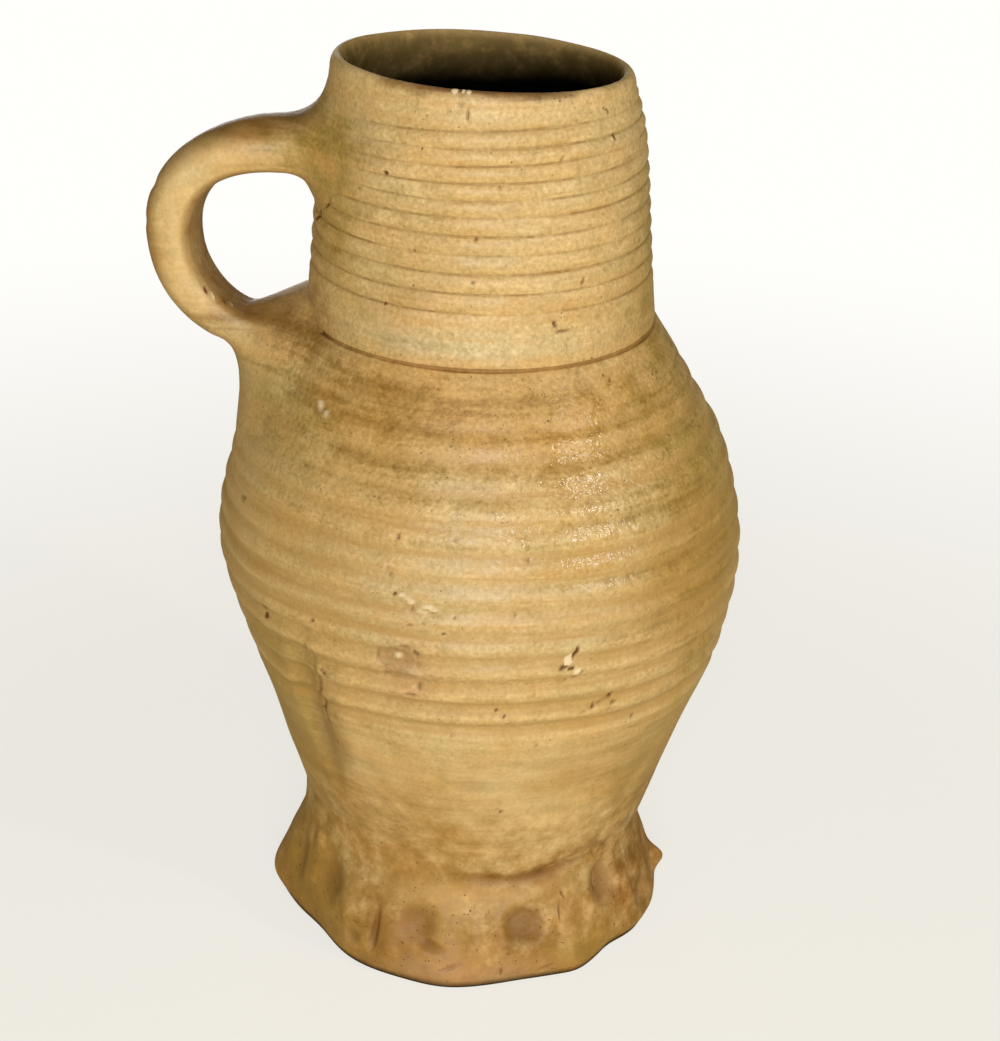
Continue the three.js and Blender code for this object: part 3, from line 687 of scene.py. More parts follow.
bellyMarks = [
    # cream chip with dark edges
    mark(290.9, 99.8, 0.55, 2.5, lean=-14, crisp=0.5, depth=-0.5, stain=1.2),
    mark(288.6, 96.3, 1.9, 0.75, lean=30, crisp=0.4, depth=-0.4, stain=1.0),
    mark(290.3, 95.7, 1.0, 0.6, lean=-30, crisp=0.5, depth=-0.4, stain=1.2),
    mark(290.9, 92.9, 0.45, 1.3, crisp=0.4, depth=-0.4, stain=1.1),
    mark(292.7, 94.6, 0.8, 0.4, lean=40, crisp=0.4, depth=-0.3, stain=0.7),
    mark(289.6, 98.6, 0.55, 1.4, lean=-10, crisp=0.6, depth=0.3, chalk=2.4),
    mark(289.7, 97.3, 1.0, 0.85, lean=-20, crisp=0.6, depth=0.3, chalk=2.4),
    mark(291.6, 94.6, 0.75, 0.75, crisp=0.5, depth=0.3, chalk=2.2),
    # dark scar under the right of the belly
    mark(300.7, 85.0, 0.8, 1.6, lean=-6, crisp=0.2, depth=-0.5, stain=1.2),
    mark(301.8, 83.1, 0.9, 0.7, lean=-40, crisp=0.2, depth=-0.4, stain=1.2),
    mark(298.6, 84.0, 2.6, 0.6, lean=16, depth=-0.3, stain=0.5),
    mark(296.4, 83.3, 0.7, 0.9, crisp=0.2, depth=-0.4, stain=1.0),
    mark(294.4, 82.5, 2.4, 0.4, lean=14, depth=-0.2, stain=0.5),
    mark(300.5, 81.5, 1.6, 0.4, lean=6, depth=-0.2, stain=0.6),
    # raised scar with a shadow under it
    mark(254.9, 113.8, 1.3, 0.4, lean=-24, crisp=0.3, depth=0.5, chalk=1.0),
    mark(256.6, 112.7, 1.4, 0.5, lean=-37, crisp=0.3, depth=0.7, chalk=1.3),
    mark(260.6, 111.6, 2.6, 0.55, lean=-20, crisp=0.3, depth=0.8, chalk=1.3),
    mark(258.8, 110.6, 1.6, 1.1, lean=-10, crisp=0.2, depth=0.4, chalk=0.45),
    mark(257.0, 110.8, 1.0, 0.8, lean=-50, crisp=0.2, depth=-0.5, stain=0.6),
    mark(261.4, 110.3, 2.2, 0.45, lean=-24, crisp=0.2, depth=-0.5, stain=0.45),
    mark(253.3, 113.9, 0.8, 0.8, lean=20, crisp=0.3, depth=-0.4, stain=1.2),
    mark(251.8, 118.5, 0.5, 2.2, lean=26, crisp=0.2, depth=-0.4, stain=0.5),
    mark(250.7, 119.8, 0.35, 1.4, lean=20, crisp=0.2, depth=0.4, chalk=0.4),
    # rough patch where something stuck in the kiln
    mark(253.8, 96.5, 5.0, 5.6, crisp=0.5, depth=-0.4, stain=0.34),
    mark(255.9, 101.1, 1.8, 0.7, lean=-8, crisp=0.2, depth=-0.4, stain=0.7),
    mark(258.0, 99.6, 0.7, 1.8, lean=24, crisp=0.2, depth=-0.5, stain=0.9),
    mark(258.5, 96.6, 0.5, 2.0, crisp=0.2, depth=-0.4, stain=0.6),
    mark(249.6, 98.0, 0.6, 2.6, lean=-14, crisp=0.2, depth=-0.3, stain=0.5),
    mark(252.0, 92.6, 2.6, 0.5, lean=-14, crisp=0.2, depth=-0.3, stain=0.5),
    mark(253.9, 98.2, 1.2, 0.9, lean=10, crisp=0.3, depth=0.5, chalk=1.0),
    mark(257.0, 94.5, 2.4, 0.9, lean=-14, crisp=0.2, depth=0.3, chalk=0.35),
    mark(256.4, 88.0, 1.8, 0.8, lean=6, crisp=0.2, depth=-0.4, stain=0.9),
    mark(258.2, 90.4, 0.9, 1.8, lean=-10, crisp=0.2, depth=-0.4, stain=0.6),
    mark(257.3, 90.3, 0.4, 0.5, crisp=0.5, depth=0.3, chalk=1.6),
    mark(264.8, 89.8, 0.9, 0.35, lean=20, crisp=0.3, depth=-0.3, stain=0.9),
    # small pale scar on the shoulder
    mark(222.2, 148.4, 2.3, 1.1, lean=-30, crisp=0.2, depth=0.2, chalk=1.2),
    mark(221.5, 147.0, 1.8, 0.8, lean=-30, crisp=0.2, depth=-0.3, stain=0.7),
    mark(225.6, 147.2, 1.7, 0.9, lean=-20, crisp=0.2, depth=0.2, chalk=0.9),
    # pale pink disc under the neck
    mark(302.9, 157.0, 4.2, 3.0, crisp=0.5, depth=-0.25, stain=0.16),
    # faint scratches
    mark(279.5, 140.5, 6.0, 0.25, lean=-13, crisp=0.2, depth=-0.15, stain=0.35),
    mark(303.0, 128.8, 5.6, 0.35, lean=-6, crisp=0.2, depth=-0.2, stain=0.55),
    mark(277.0, 51.1, 0.4, 2.2, lean=50, crisp=0.3, depth=-0.3, stain=0.9),
    # pushed-in flank: the hollow, the crack along it and the swelling beside it
    mark(227.5, 74.0, 7.0, 30.0, lean=-2, crisp=0.0, depth=-2.0, stain=0.12),
    mark(232.4, 80.0, 0.6, 20.0, lean=-1, crisp=0.2, depth=-0.7, stain=0.65),
    mark(230.8, 94.0, 0.5, 6.0, lean=-24, crisp=0.2, depth=-0.4, stain=0.35),
    mark(239.0, 80.0, 7.0, 28.0, lean=-4, crisp=0.0, depth=0.5),
    mark(235.4, 88.0, 1.6, 0.7, lean=-46, crisp=0.3, depth=-0.4, stain=0.9),
    # finger smears on the plain wall
    mark(262.0, 60.0, 14, 2.6, lean=-24, crisp=0.0, depth=-0.35),
    mark(280.0, 66.0, 16, 2.4, lean=-12, crisp=0.0, depth=-0.3),
    mark(300.0, 56.0, 14, 3.0, lean=8, crisp=0.0, depth=-0.3),
    mark(250.0, 50.0, 10, 3.2, lean=-30, crisp=0.0, depth=-0.4),
]
bellyMarks += pits([(205.6, 121.4), (217.8, 98.6), (218.4, 96.6)], 0.9, 1.4)
bellyMarks += pits([(265.6, 127.5), (253.2, 126.8), (281.0, 122.8)], 0.55)
bellyMarks += pits([(234.0, 102.2), (274.8, 84.3), (276.4, 83.0)], 0.55)
bellyMarks += pits([(289.2, 92.2), (288.3, 91.2), (277.3, 80.8), (265.0, 76.5)], 0.5, 0.8)
bellyMarks += pits([(284.1, 73.6), (308.2, 77.0), (266.1, 109.5), (256.7, 106.9)], 0.5, 0.8)
bellyMarks += pits([(259.2, 107.5), (263.7, 105.4), (278.3, 110.4), (249.7, 71.1)], 0.5, 0.8)
bellyMarks += pits([(233.4, 82.5), (231.8, 76.0), (232.0, 71.5), (233.0, 66.0)], 0.6, 0.9)
bellyMarks += pits([(274.3, 32.0), (312.3, 156.7)], 0.6, 0.9)


def bellyPiece():
    size = bellySizes
    outline = curveThrough(size["outline"])
    seatHeight, seatRadius = size["outline"][-1]
    baseRadius = size["outline"][0][1]
    edge, seatEdge = size["baseEdge"], size["seatEdge"]
    lower = evenSteps(edge, size["handledFrom"], size["plainStep"])
    upper = evenSteps(size["handledFrom"], seatHeight - seatEdge, size["handledStep"])[1:]
    fillet = size["floorFillet"]
    filletTop = size["floor"] + fillet[1]
    inner = evenSteps(seatHeight, filletTop, size["innerStep"])
    floorRadius = outline(filletTop) - size["wall"] - fillet[0]
    foot = (baseRadius - edge - skinInset, edge)
    seat = (seatRadius - seatEdge, seatHeight - seatEdge)
    profile = [(radius, 0, 1) for radius in evenSteps(1, foot[0], size["baseStep"])]
    profile += roundEdge(foot, (edge, edge), -pi / 2, 0, size["baseEdgeRows"], 1)[1:-1]
    profile += [(outline(z) - skinInset, z, 1) for z in np.concatenate([lower, upper])]
    profile += roundEdge(seat, (seatEdge, seatEdge), 0, pi / 2, size["seatEdgeRows"], 1)[1:]
    profile += [(seatRadius - size["wall"] / 2, seatHeight, 0)]
    profile += [(outline(z) - size["wall"], z, 0) for z in inner]
    profile += roundEdge((floorRadius, filletTop), fillet, 0, -pi / 2, size["filletRows"], 0)[1:]
    profile += [(radius, size["floor"], 0) for radius in evenSteps(floorRadius, 1, size["floorStep"])[1:]]
    piece = turnedSkin("belly_wall", profile, size["sides"])
    marks = markStep("belly marks", bellyMarks, size)
    steps = [("throwing", bellyHollows), ("throwing", innerHollows), marks, ("kiln", kilnSet)]
    return work(piece, materials["belly"], steps)


belly = bellyPiece()
settle(belly, ["pot_body"])


# Neck
neckSizes = {
    "outline": [(162.0, 41.9), (185, 40.3), (205, 38.6), (219, 35.8)],
    "foot": 161.2, "footEdge": 0.6, "lip": (3.7, 3.35), "lipShown": 0.55, "wall": 3.9, "sides": 384,
    "besideLine": (0.16, 0.32, 0.5, 0.8, 1.3), "clearOfLine": 0.4, "plainStep": 0.7, "innerStep": 1.6,
    "innerTopDrop": 1, "footEdgeRows": 5, "lipRows": 15, "markRadius": 40, "markRaggedness": 0.7,
}
neckLines = {
    "First": 174.0 * mm, "Pitch": 4.03 * mm, "Last": 214.3 * mm, "Line depth": 0.3 * mm,
    "Line width": 0.34 * mm, "Rib depth": 0.5 * mm, "Wander": 0.7 * mm, "Worn": 0.6,
    "Bow": 1.75 * mm, "Slant": 0.055,
}
neckMarks = [
    # dark pit on the upper left
    mark(236.7, 202.8, 0.8, 0.9, crisp=0.3, depth=-0.4, stain=1.2),
    # painted glints: pale spots on the lip stand in for highlights of light on the glaze
    mark(260.5, 222.1, 1.0, 0.7, crisp=0.5, depth=0.1, chalk=1.6),
    mark(263.6, 222.3, 0.5, 0.7, crisp=0.5, depth=0.1, chalk=1.6),
    mark(265.6, 222.0, 0.8, 0.5, crisp=0.5, depth=0.1, chalk=1.4),
    # scars under the lip
    mark(262.7, 219.4, 1.4, 1.2, crisp=0.3, depth=-0.25, stain=0.35),
    mark(265.5, 217.4, 0.6, 1.6, crisp=0.3, depth=-0.3, stain=0.7),
    # scar near the foot
    mark(294.6, 171.2, 0.6, 1.6, lean=30, crisp=0.3, depth=-0.4, stain=0.9),
    mark(298.0, 169.4, 3.4, 0.4, lean=-6, crisp=0.3, depth=-0.3, stain=0.7),
    # nicks on the right
    mark(320.7, 217.2, 1.7, 0.45, lean=-35, crisp=0.3, depth=-0.3, stain=0.9),
    mark(321.8, 216.0, 0.6, 1.2, lean=10, crisp=0.3, depth=-0.3, stain=1.0),
    mark(323.6, 209.5, 0.6, 1.3, lean=15, crisp=0.3, depth=-0.3, stain=1.0),
    mark(298.8, 207.1, 0.4, 1.3, lean=-25, crisp=0.3, depth=-0.3, stain=0.8),
    mark(305.2, 179.5, 0.5, 1.2, lean=-10, crisp=0.3, depth=-0.3, stain=0.8),
    # crack along the lower edge of the handle's smear
    mark(196.5, 185.6, 6.0, 0.7, lean=30, crisp=0.3, depth=-0.7, stain=1.2),
    mark(206.0, 190.1, 4.0, 0.6, lean=41, crisp=0.2, depth=-0.5, stain=0.9),
    mark(212.5, 195.3, 0.5, 1.2, lean=20, crisp=0.2, depth=-0.4, stain=0.9),
]
neckMarks += pits([(268.9, 189.8), (335.9, 183.7), (225.2, 197.5)], 0.5)
neckMarks += pits([(248.2, 186.1), (237.9, 173.9), (268.1, 180.7), (248.5, 178.9), (276.6, 201.8)], 0.4, 0.9)


def neckPiece():
    size = neckSizes
    outline = curveThrough(size["outline"])
    rimHeight, rimRadius = size["outline"][-1]
    lipWide, lipTall = size["lip"]
    foot, footEdge = size["foot"], size["footEdge"]
    footRadius = size["outline"][0][1] - skinInset
    first, pitch, last = (neckLines[key] / mm for key in ("First", "Pitch", "Last"))
    lines = evenSteps(first, last, pitch)
    beside = np.array(size["besideLine"])
    offsets = np.concatenate([-beside[::-1], [0], beside, [pitch / 2]])
    heights = np.concatenate([
        evenSteps(foot + footEdge, first - beside[-1] - size["clearOfLine"], size["plainStep"]),
        (lines[:, None] + offsets).ravel()[:-1],
        evenSteps(last + pitch / 2, rimHeight, size["plainStep"])[:-1],
    ])
    inner = evenSteps(rimHeight - size["innerTopDrop"], foot + footEdge, size["innerStep"])
    edge = (footRadius - footEdge, foot + footEdge)
    profile = roundEdge(edge, (footEdge, footEdge), -pi / 2, 0, size["footEdgeRows"], 1)[:-1]
    profile += [(outline(z) - skinInset, z, 1) for z in heights]
    lipMiddle = (rimRadius - skinInset - lipWide / 2, rimHeight)
    lip = roundEdge(lipMiddle, (lipWide / 2, lipTall), 0, pi, size["lipRows"], 1)
    # the lip's inner part takes the inside's colour, with its painted shade
    lipInner, lipShown = rimRadius - lipWide, size["lipShown"] * lipWide
    profile += [(radius, z, min(1, max(0, (radius - lipInner) / lipShown))) for radius, z, _ in lip]
    profile += [(outline(z) - size["wall"], z, 0) for z in inner]
    profile += [(outline(foot) - size["wall"] / 2, foot, 0)]
    piece = turnedSkin("neck_wall", profile, size["sides"], loop=True)
    marks = markStep("neck marks", neckMarks, size)
    steps = [("scoring", neckLines), ("throwing", innerHollows), marks, ("kiln", kilnSet)]
    return work(piece, materials["neck"], steps)


neck = neckPiece()
settle(neck, ["neck"])


# Radius of the whole pot's wall at a height, and of the bed that smeared clay lies on
bellyOutline = curveThrough(bellySizes["outline"])
neckOutline = curveThrough(neckSizes["outline"])


def potRadius(height):
    return np.where(height < bellySizes["outline"][-1][0], bellyOutline(height), neckOutline(height))


def bedRadius(height, cornerFill=5):
    bridged = (potRadius(height - cornerFill) + potRadius(height + cornerFill)) / 2
    return np.maximum(potRadius(height), bridged)


# Handle
handleSizes = {
    "upperHeight": 201.3, "lowerHeight": 152.9, "loopDepth": 26.9, "gripDrop": 21.3,
    "upperArm": 6.5, "lowerArm": 9.5, "width": [(0, 21), (1, 17)],
    "thickness": [(0, 12.2), (0.25, 11.7), (0.5, 11.9), (0.72, 11.6), (1, 9.8)], "twist": 10,
    "fullness": (0.6, 0.52), "lowerPull": 9, "lowerSlope": 18, "rootLift": 1.1,
    # roundness of the section from its inner face, at 0 degrees, to its outer one
    "section": [
        (0, 1.0), (22, 1.07), (36, 1.18), (46, 1.19), (62, 1.1), (90, 1.0), (135, 1.03), (180, 1.0),
    ],
    "sides": 144, "strapStep": 0.5, "rootStep": 0.8, "rootSteps": 34, "ringsGivenUp": (2, 6),
    # each end: how far it spreads, and how thick it is above, at its sides and below
    "upper": {
        "up": 16, "down": 13, "halfWidth": 26, "upwards": -1, "feather": -0.5, "crispCorner": 0,
        "body": (0.4, 1.5, 2.6), "flank": (0.4, 0.4, 1.6), "thin": (-0.2, 0.3, 0.8),
    },
    "lower": {
        "up": 13.6, "down": 28, "halfWidth": 26, "upwards": 1, "feather": -0.85, "crispCorner": 3,
        "body": (12.0, 6.8, 9.0), "flank": (7.2, 1.1, 3.4), "thin": (3.2, -0.2, -0.2),
    },
    # how far from its edge to its corner an end turns from thin to flank, and its finger ripple
    "thinAt": 0.28, "flankAt": 0.6, "cornerLift": 0.6, "ripple": 0.2, "ripples": 5, "buried": -1.2,
    "buriedShares": (1.0, 0.9, 0.6, 0.3, 0.1), "markRadius": 8.5, "markRaggedness": 0.5,
    # browning, painted shade on the inner face and flame colour outside: the shares of the length that it
    # fades in over, and how strong it is outside
    "upperFade": 0.3, "lowerFade": 0.15, "outerBrown": 0.7,
}
# round the strap from its inner face, and along it from its upper end
handleMarks = [
    # flakes near the lower end
    mark(317, 55.5, 0.45, 1.4, lean=26, crisp=0.5, depth=-0.4, stain=1.0),
    mark(319, 58, 0.5, 1.8, lean=22, crisp=0.5, depth=0.35, chalk=0.6),
    mark(327, 62, 0.5, 1.1, lean=40, crisp=0.5, depth=-0.3, stain=0.7),
    mark(330, 64, 0.4, 1.4, lean=30, crisp=0.5, depth=0.3, chalk=0.5),
    # shallow dents across the outer face
    mark(180, 30, 9, 2.2, depth=-0.4),
    mark(180, 37, 9, 2.0, depth=-0.35),
    mark(180, 66, 9, 2.6, depth=-0.4),
]


# Point of a curve over any number of control points
def curvePoint(points, t):
    points = [np.array(point, float) for point in points]
    while len(points) > 1:
        points = [(1 - t) * here + t * after for here, after in zip(points, points[1:])]
    return points[0]


def handleLine():
    size = handleSizes
    high, low = size["upperHeight"], size["lowerHeight"]
    start = np.array([potRadius(high) + size["rootLift"] + size["upperArm"], high])
    gripHeight = high - size["gripDrop"]
    gripReach = potRadius(gripHeight) + size["loopDepth"] + size["thickness"][0][1] / 2
    grip = np.array([gripReach, gripHeight])
    slope = math.radians(size["lowerSlope"])
    outward = np.array([math.cos(slope), math.sin(slope)])
    end = np.array([potRadius(low) + size["rootLift"], low]) + outward * size["lowerArm"]
    upperFull, lowerFull = size["fullness"]
    overTop = (start[0] + (gripReach - start[0]) * upperFull, high)
    aboveGrip = (gripReach, gripHeight + (high - gripHeight) * upperFull)
    belowGrip = (gripReach, gripHeight + (end[1] - gripHeight) * lowerFull)
    t = np.linspace(0, 1, 400)[:, None]
    upper = curvePoint([start, overTop, aboveGrip, grip], t)
    lower = curvePoint([grip, belowGrip, end + outward * size["lowerPull"], end], t)
    path = np.vstack([upper, lower[1:]])
    travelled = np.concatenate([[0], np.cumsum(np.hypot(*np.diff(path, axis=0).T))])
    wanted = evenSteps(0, travelled[-1], size["strapStep"])
    line = np.stack([np.interp(wanted, travelled, path[:, k]) for k in range(2)], 1)
    return line, wanted / travelled[-1], wanted


# Section across the strap: an oval with a soft ridge on either side of its inner face
def strapRings(line, share):
    size = handleSizes
    turn = np.arange(size["sides"]) * 2 * pi / size["sides"]
    fullness = curveThrough(size["section"])(np.degrees(np.abs((turn + pi) % (2 * pi) - pi)))
    along = np.gradient(line, axis=0)
    along /= np.linalg.norm(along, axis=1)[:, None]
    thick = curveThrough(size["thickness"])(share)[:, None] / 2 - skinInset
    wide = curveThrough(size["width"])(share)[:, None] / 2 - skinInset
    facing, across = thick * np.cos(turn) * fullness, wide * np.sin(turn) * fullness
    twist = math.radians(size["twist"]) * np.sin(pi * share)[:, None]
    inward = facing * np.cos(twist) + across * np.sin(twist)
    sideways = across * np.cos(twist) - facing * np.sin(twist)
    radius = line[:, :1] + inward * along[:, 1:]
    height = line[:, 1:] - inward * along[:, :1]
    return np.stack([-radius, sideways, height], 2), turn


# The bed gives way to the bare wall as hug goes from 0 to 1
def onWall(angle, height, lift, hug=0.0):
    radius = bedRadius(height) * (1 - hug) + potRadius(height) * hug + lift
    return np.stack([radius * np.cos(angle), radius * np.sin(angle), height], -1)


def wallPlace(points):
    angle = np.arctan2(points[..., 1], points[..., 0]) % (2 * pi)
    lift = np.hypot(points[..., 0], points[..., 1]) - bedRadius(points[..., 2])
    return np.stack([angle, points[..., 2], lift], -1)


# Where lines from these points come within a lift of the wall, found by halving
def meetWall(points, direction, lift, halvings=40):
    near = np.zeros(len(points))
    far = np.hypot(points[:, 0], points[:, 1])
    for _ in range(halvings):
        middle = (near + far) / 2
        outside = wallPlace(points + middle[:, None] * direction)[:, 2] > lift
        near = np.where(outside, middle, near)
        far = np.where(outside, far, middle)
    return wallPlace(points + near[:, None] * direction)


# Outer edge of one end's clay on the wall, as angle and height
def rootEdge(root, height, turn):
    upward = root["upwards"] * np.cos(turn)
    edgeHeight = height + upward * np.where(upward > 0, root["up"], root["down"])
    edgeAngle = pi - root["halfWidth"] * np.sin(turn) / potRadius(np.array(height))
    return np.stack([edgeAngle, edgeHeight], -1), upward


# Clay of one end drawn out over the wall, feathered under its surface at the edge
def rootRings(root, height, ring, turn, direction):
    size = handleSizes
    border, upward = rootEdge(root, height, turn)
    over, under = np.clip(upward, 0, 1) ** 2, np.clip(-upward, 0, 1) ** 2
    body, flankLift, thinLift = (
        beside + (above - beside) * over + (below - beside) * under
        for above, beside, below in (root["body"], root["flank"], root["thin"])
    )
    start = wallPlace(ring)
    corner = meetWall(ring, direction, body + size["cornerLift"])
    edge = np.column_stack([border, np.full_like(turn, root["feather"])])
    flank = edge + (corner - edge) * size["flankAt"]
    flank[:, 2] = flankLift
    thin = edge + (corner - edge) * size["thinAt"]
    thin[:, 2] = thinLift
    rings = []
    pull = 1 + root["crispCorner"] * over[:, None]
    weights = [np.ones_like(pull), pull] + [np.ones_like(pull)] * 3
    hooked = [np.hstack([point * w, w]) for point, w in zip((start, corner, flank, thin, edge), weights)]
    for t in np.linspace(0, 1, size["rootSteps"] + 1)[1:]:
        place = curvePoint(hooked, t)
        place = place[:, :3] / place[:, 3:]
        place[:, 2] += size["ripple"] * np.sin(pi * t) ** 2 * np.sin(size["ripples"] * turn + 2.0) * t
        rings.append(onWall(*place.T, hug=t ** 3))
    middle = np.array([pi, height])
    for share in size["buriedShares"]:
        inner = middle + (border - middle) * share
        rings.append(onWall(inner[:, 0], inner[:, 1], size["buried"], hug=1.0))
    return np.array(rings)


def handlePiece():
    size = handleSizes
    line, share, travelled = handleLine()
    strap, turn = strapRings(line, share)
    first, last = size["ringsGivenUp"]
    strap, travelled = strap[first:-last], travelled[first:-last]
    ends = []
    for key, ring, back in (("upper", 0, 4), ("lower", -1, -5)):
        direction = strap[ring].mean(0) - strap[back].mean(0)
        direction /= np.linalg.norm(direction)
        ends.append(rootRings(size[key], size[key + "Height"], strap[ring], turn, direction))
    rings = np.concatenate([ends[0][::-1], strap, ends[1]])
    lead = travelled[0] - np.arange(len(ends[0]), 0, -1) * size["rootStep"]
    tail = travelled[-1] + np.arange(1, len(ends[1]) + 1) * size["rootStep"]
    along = np.concatenate([lead, travelled, tail])[:, None] * mm
    # painted shade browns the inner face, and the flame browned the outer edge, less strongly
    span = np.linspace(0, 1, len(rings))[:, None]
    fromEnds = np.minimum(span / size["upperFade"], (1 - span) / size["lowerFade"])
    onStrap = np.clip(fromEnds, 0, 1) ** 2
    innerFace = np.clip(np.cos(turn) * 5 - 2.9, 0, 1)
    outerFace = np.clip(-np.cos(turn) * 1.6 - 0.35, 0, 1)
    burnAndShade = (innerFace + size["outerBrown"] * outerFace) * onStrap
    facts = {"around": turn[None], "along": along, "outside": np.ones((len(rings), 1)), "burnAndShade": burnAndShade}
    piece = ringSkin("handle_strap", rings, facts)
    marks = markStep("handle marks", handleMarks, size)
    return work(piece, materials["handle"], [marks, ("kiln", kilnSet)])


handle = handlePiece()
settle(handle, ["handle"])


# Frilled foot
frillSizes = {
    "base": 47.6, "edge": (4, 49), "body": (15, 47), "waist": (27, 43.4), "topHeight": 36,
    "shift": 2.6, "sides": 480, "step": 0.4, "tuck": 0.3, "closing": 1.0, "bareRings": 6,
    "markRadius": 47, "markRaggedness": 0.35, "uneven": 2.0,
    "innerShares": (0.97, 0.7, 0.4, 0.1, 0), "bottomShares": (0.25, 0.5, 0.75),
    # where the coil was pulled out or pressed in: angle, height, reach, and how far it runs around and up
    "lobes": [
        (180, 5, 2.6, 7, 7),
        (0, 11, 3.2, 3, 3),
        (210, 1, -3.6, 14, 12),
        (261, 1, 1.3, 9, 10),
        (285, 0, -1.0, 9, 7),
        (303, 4, 1.0, 5, 8),
        (321, 1, -2.0, 8, 9),
        (28, 2, -1.8, 9, 9),
        (54, 3, 1.2, 7, 8),
        (82, 1, -2.2, 9, 9),
        (108, 4, 1.3, 6, 8),
        (138, 1, -2.0, 9, 9),
    ],
}
frillMarks = [
    # thumb presses, darkened partly in the clay's colour and partly as painted shade
    mark(15, 16, 8, 9.5, crisp=0.05, depth=-3.0, stain=0.15),
    mark(45, 15, 8, 9, crisp=0.05, depth=-3.2, stain=0.2),
    mark(76, 16, 8, 9.5, crisp=0.05, depth=-3.4, stain=0.15),
    mark(104, 17, 8, 9, depth=-2.8, stain=0.25),
    mark(135, 15, 8, 9.5, crisp=0.05, depth=-3.4, stain=0.15),
    mark(165, 16, 8, 9, crisp=0.05, depth=-3.2, stain=0.15),
    mark(196, 16, 8, 9, crisp=0.05, depth=-2.4, stain=0.15),
    mark(218, 18, 7.5, 8, crisp=0.15, depth=-2.4, stain=0.5),
    # swellings and a dent on the left
    mark(208, 25, 5.0, 5.0, crisp=0.0, depth=0.9),
    mark(229, 14, 3.5, 8.0, lean=8, crisp=0.0, depth=1.0),
    mark(232, 8, 3.0, 3.0, depth=-0.8, stain=0.4),
    # the presses that face the viewer and the right, darkened partly in the clay's colour and partly as
    # painted shade
    mark(253, 16, 6.5, 7.0, lean=20, crisp=0.15, depth=-2.2, stain=0.35),
    mark(257, 11, 4.5, 2.2, lean=-12, depth=-0.9, stain=0.5),
    mark(285.6, 16, 8.2, 7.8, crisp=0.6, depth=0.3),
    mark(285.6, 16, 6.8, 6.4, crisp=0.42, depth=-2.7, stain=0.5),
    mark(318, 20, 7, 8, crisp=0.15, depth=-2.8, stain=0.5),
    mark(340, 9, 7, 7, depth=-2.0, stain=0.25),
    # pinched folds and the crease under the wall; the crease's darkening is painted shadow
    mark(239.3, 12, 1.6, 8.5, lean=-4, crisp=0.0, depth=-1.6, stain=0.7),
    mark(244, 8, 4, 7, crisp=0.0, depth=0.9),
    mark(271, 12, 5, 12, crisp=0.0, depth=1.1),
    mark(301, 11, 4.5, 9, crisp=0.0, depth=0.9),
    mark(275, 28, 12, 2.8, lean=-4, crisp=0.0, depth=-0.7, stain=0.4),
    mark(293, 28.4, 13, 3.4, lean=9, crisp=0.0, depth=-1.1, stain=0.7),
    mark(312, 32, 12, 3.4, lean=20, crisp=0.0, depth=-1.0, stain=0.65),
    mark(292, 23.5, 12, 3.2, lean=8, crisp=0.0, depth=1.1),
    mark(329, 14, 3, 8, crisp=0.0, depth=1.0),
    # cracks
    mark(297.6, 17.6, 0.5, 3.2, lean=-4, crisp=0.2, depth=-0.6, stain=0.9),
    mark(299.5, 21.5, 0.5, 2.4, lean=25, crisp=0.2, depth=-0.5, stain=0.8),
    mark(315.6, 21.5, 1.0, 3.6, lean=-8, depth=-0.9, stain=0.9),
    mark(292, 3.5, 3.0, 1.2, lean=12, depth=-0.7, stain=0.4),
    mark(278, 4.5, 0.5, 1.8, lean=-6, crisp=0.2, depth=-0.4, stain=0.9),
    mark(263, 6, 4.0, 0.8, lean=24, depth=-0.5, stain=0.4),
]


def lobeReach(lobe, angle, height):
    lobeAngle, lobeHeight, reach, around, up = lobe
    turned = (angle - math.radians(lobeAngle) + pi) % (2 * pi) - pi
    across = turned * frillSizes["edge"][1] / around
    above = (height - lobeHeight) / up
    return reach * np.exp(-across * across - above * above)


def frillPiece():
    size = frillSizes
    angle = sideAngles(size["sides"])
    cosine, sine = np.cos(angle), np.sin(angle)
    topHeight = size["topHeight"]
    top = (topHeight, bellyOutline(topHeight) - size["tuck"])
    outline = curveThrough([(0, size["base"]), size["edge"], size["body"], size["waist"], top])
    innerWall = bellyOutline(0) - size["closing"]

    def skinRadius(height):
        moved = outline(height) - size["shift"] * cosine * (1 - (height / topHeight) ** 3)
        return moved + sum(lobeReach(lobe, angle, height) for lobe in size["lobes"])

    def ring(radius, height):
        return np.stack([radius * cosine, radius * sine, np.full_like(angle, height)], -1)

    rings = [ring(np.maximum(skinRadius(z), bellyOutline(z) - size["tuck"]), z)
             for z in evenSteps(0, topHeight, size["step"])]
    outsides = [min(1.0, i / size["bareRings"]) for i in range(len(rings))]
    innerHeights = topHeight * np.array(size["innerShares"])
    inner = [ring(bellyOutline(z) - size["closing"], z) for z in innerHeights]
    floorWidth = skinRadius(0) - innerWall
    bottom = [ring(innerWall + floorWidth * share, 0) for share in size["bottomShares"]]
    rings = np.array(rings + inner + bottom)
    outsides += [0] * (len(rings) - len(outsides))
    facts = {"around": angle[None], "along": rings[:, :, 2] * mm, "outside": np.array(outsides)[:, None]}
    piece = ringSkin("frill", rings, facts, loop=True)
    marks = markStep("thumb marks", frillMarks, size)
    ownSet = {**kilnSet, "Uneven": size["uneven"] * mm}
    return work(piece, materials["frill"], [marks, ("kiln", ownSet)])


frill = frillPiece()
settle(frill, ["frilled_foot"])


# Films of slip in the joints
slipSizes = {
    "neckRadius": 41.3, "neckHeight": 160.95, "neckBead": (0.5, 0.75), "dipAtHandle": 1.5, "dipTurn": 0.5,
    "footDrop": 4, "footTuck": 1.0, "footBead": (0.5, 0.9), "beadSides": 360, "beadRoundSides": 12,
    # under the handle's ends: shares of their spread, and lift off the wall
    "filmSides": 96, "filmUnder": -1.4, "underShares": (0.1, 0.4, 0.7, 0.95),
    "filmOver": -0.2, "overShares": (0.8, 0.6, 0.3, 0.1),
}


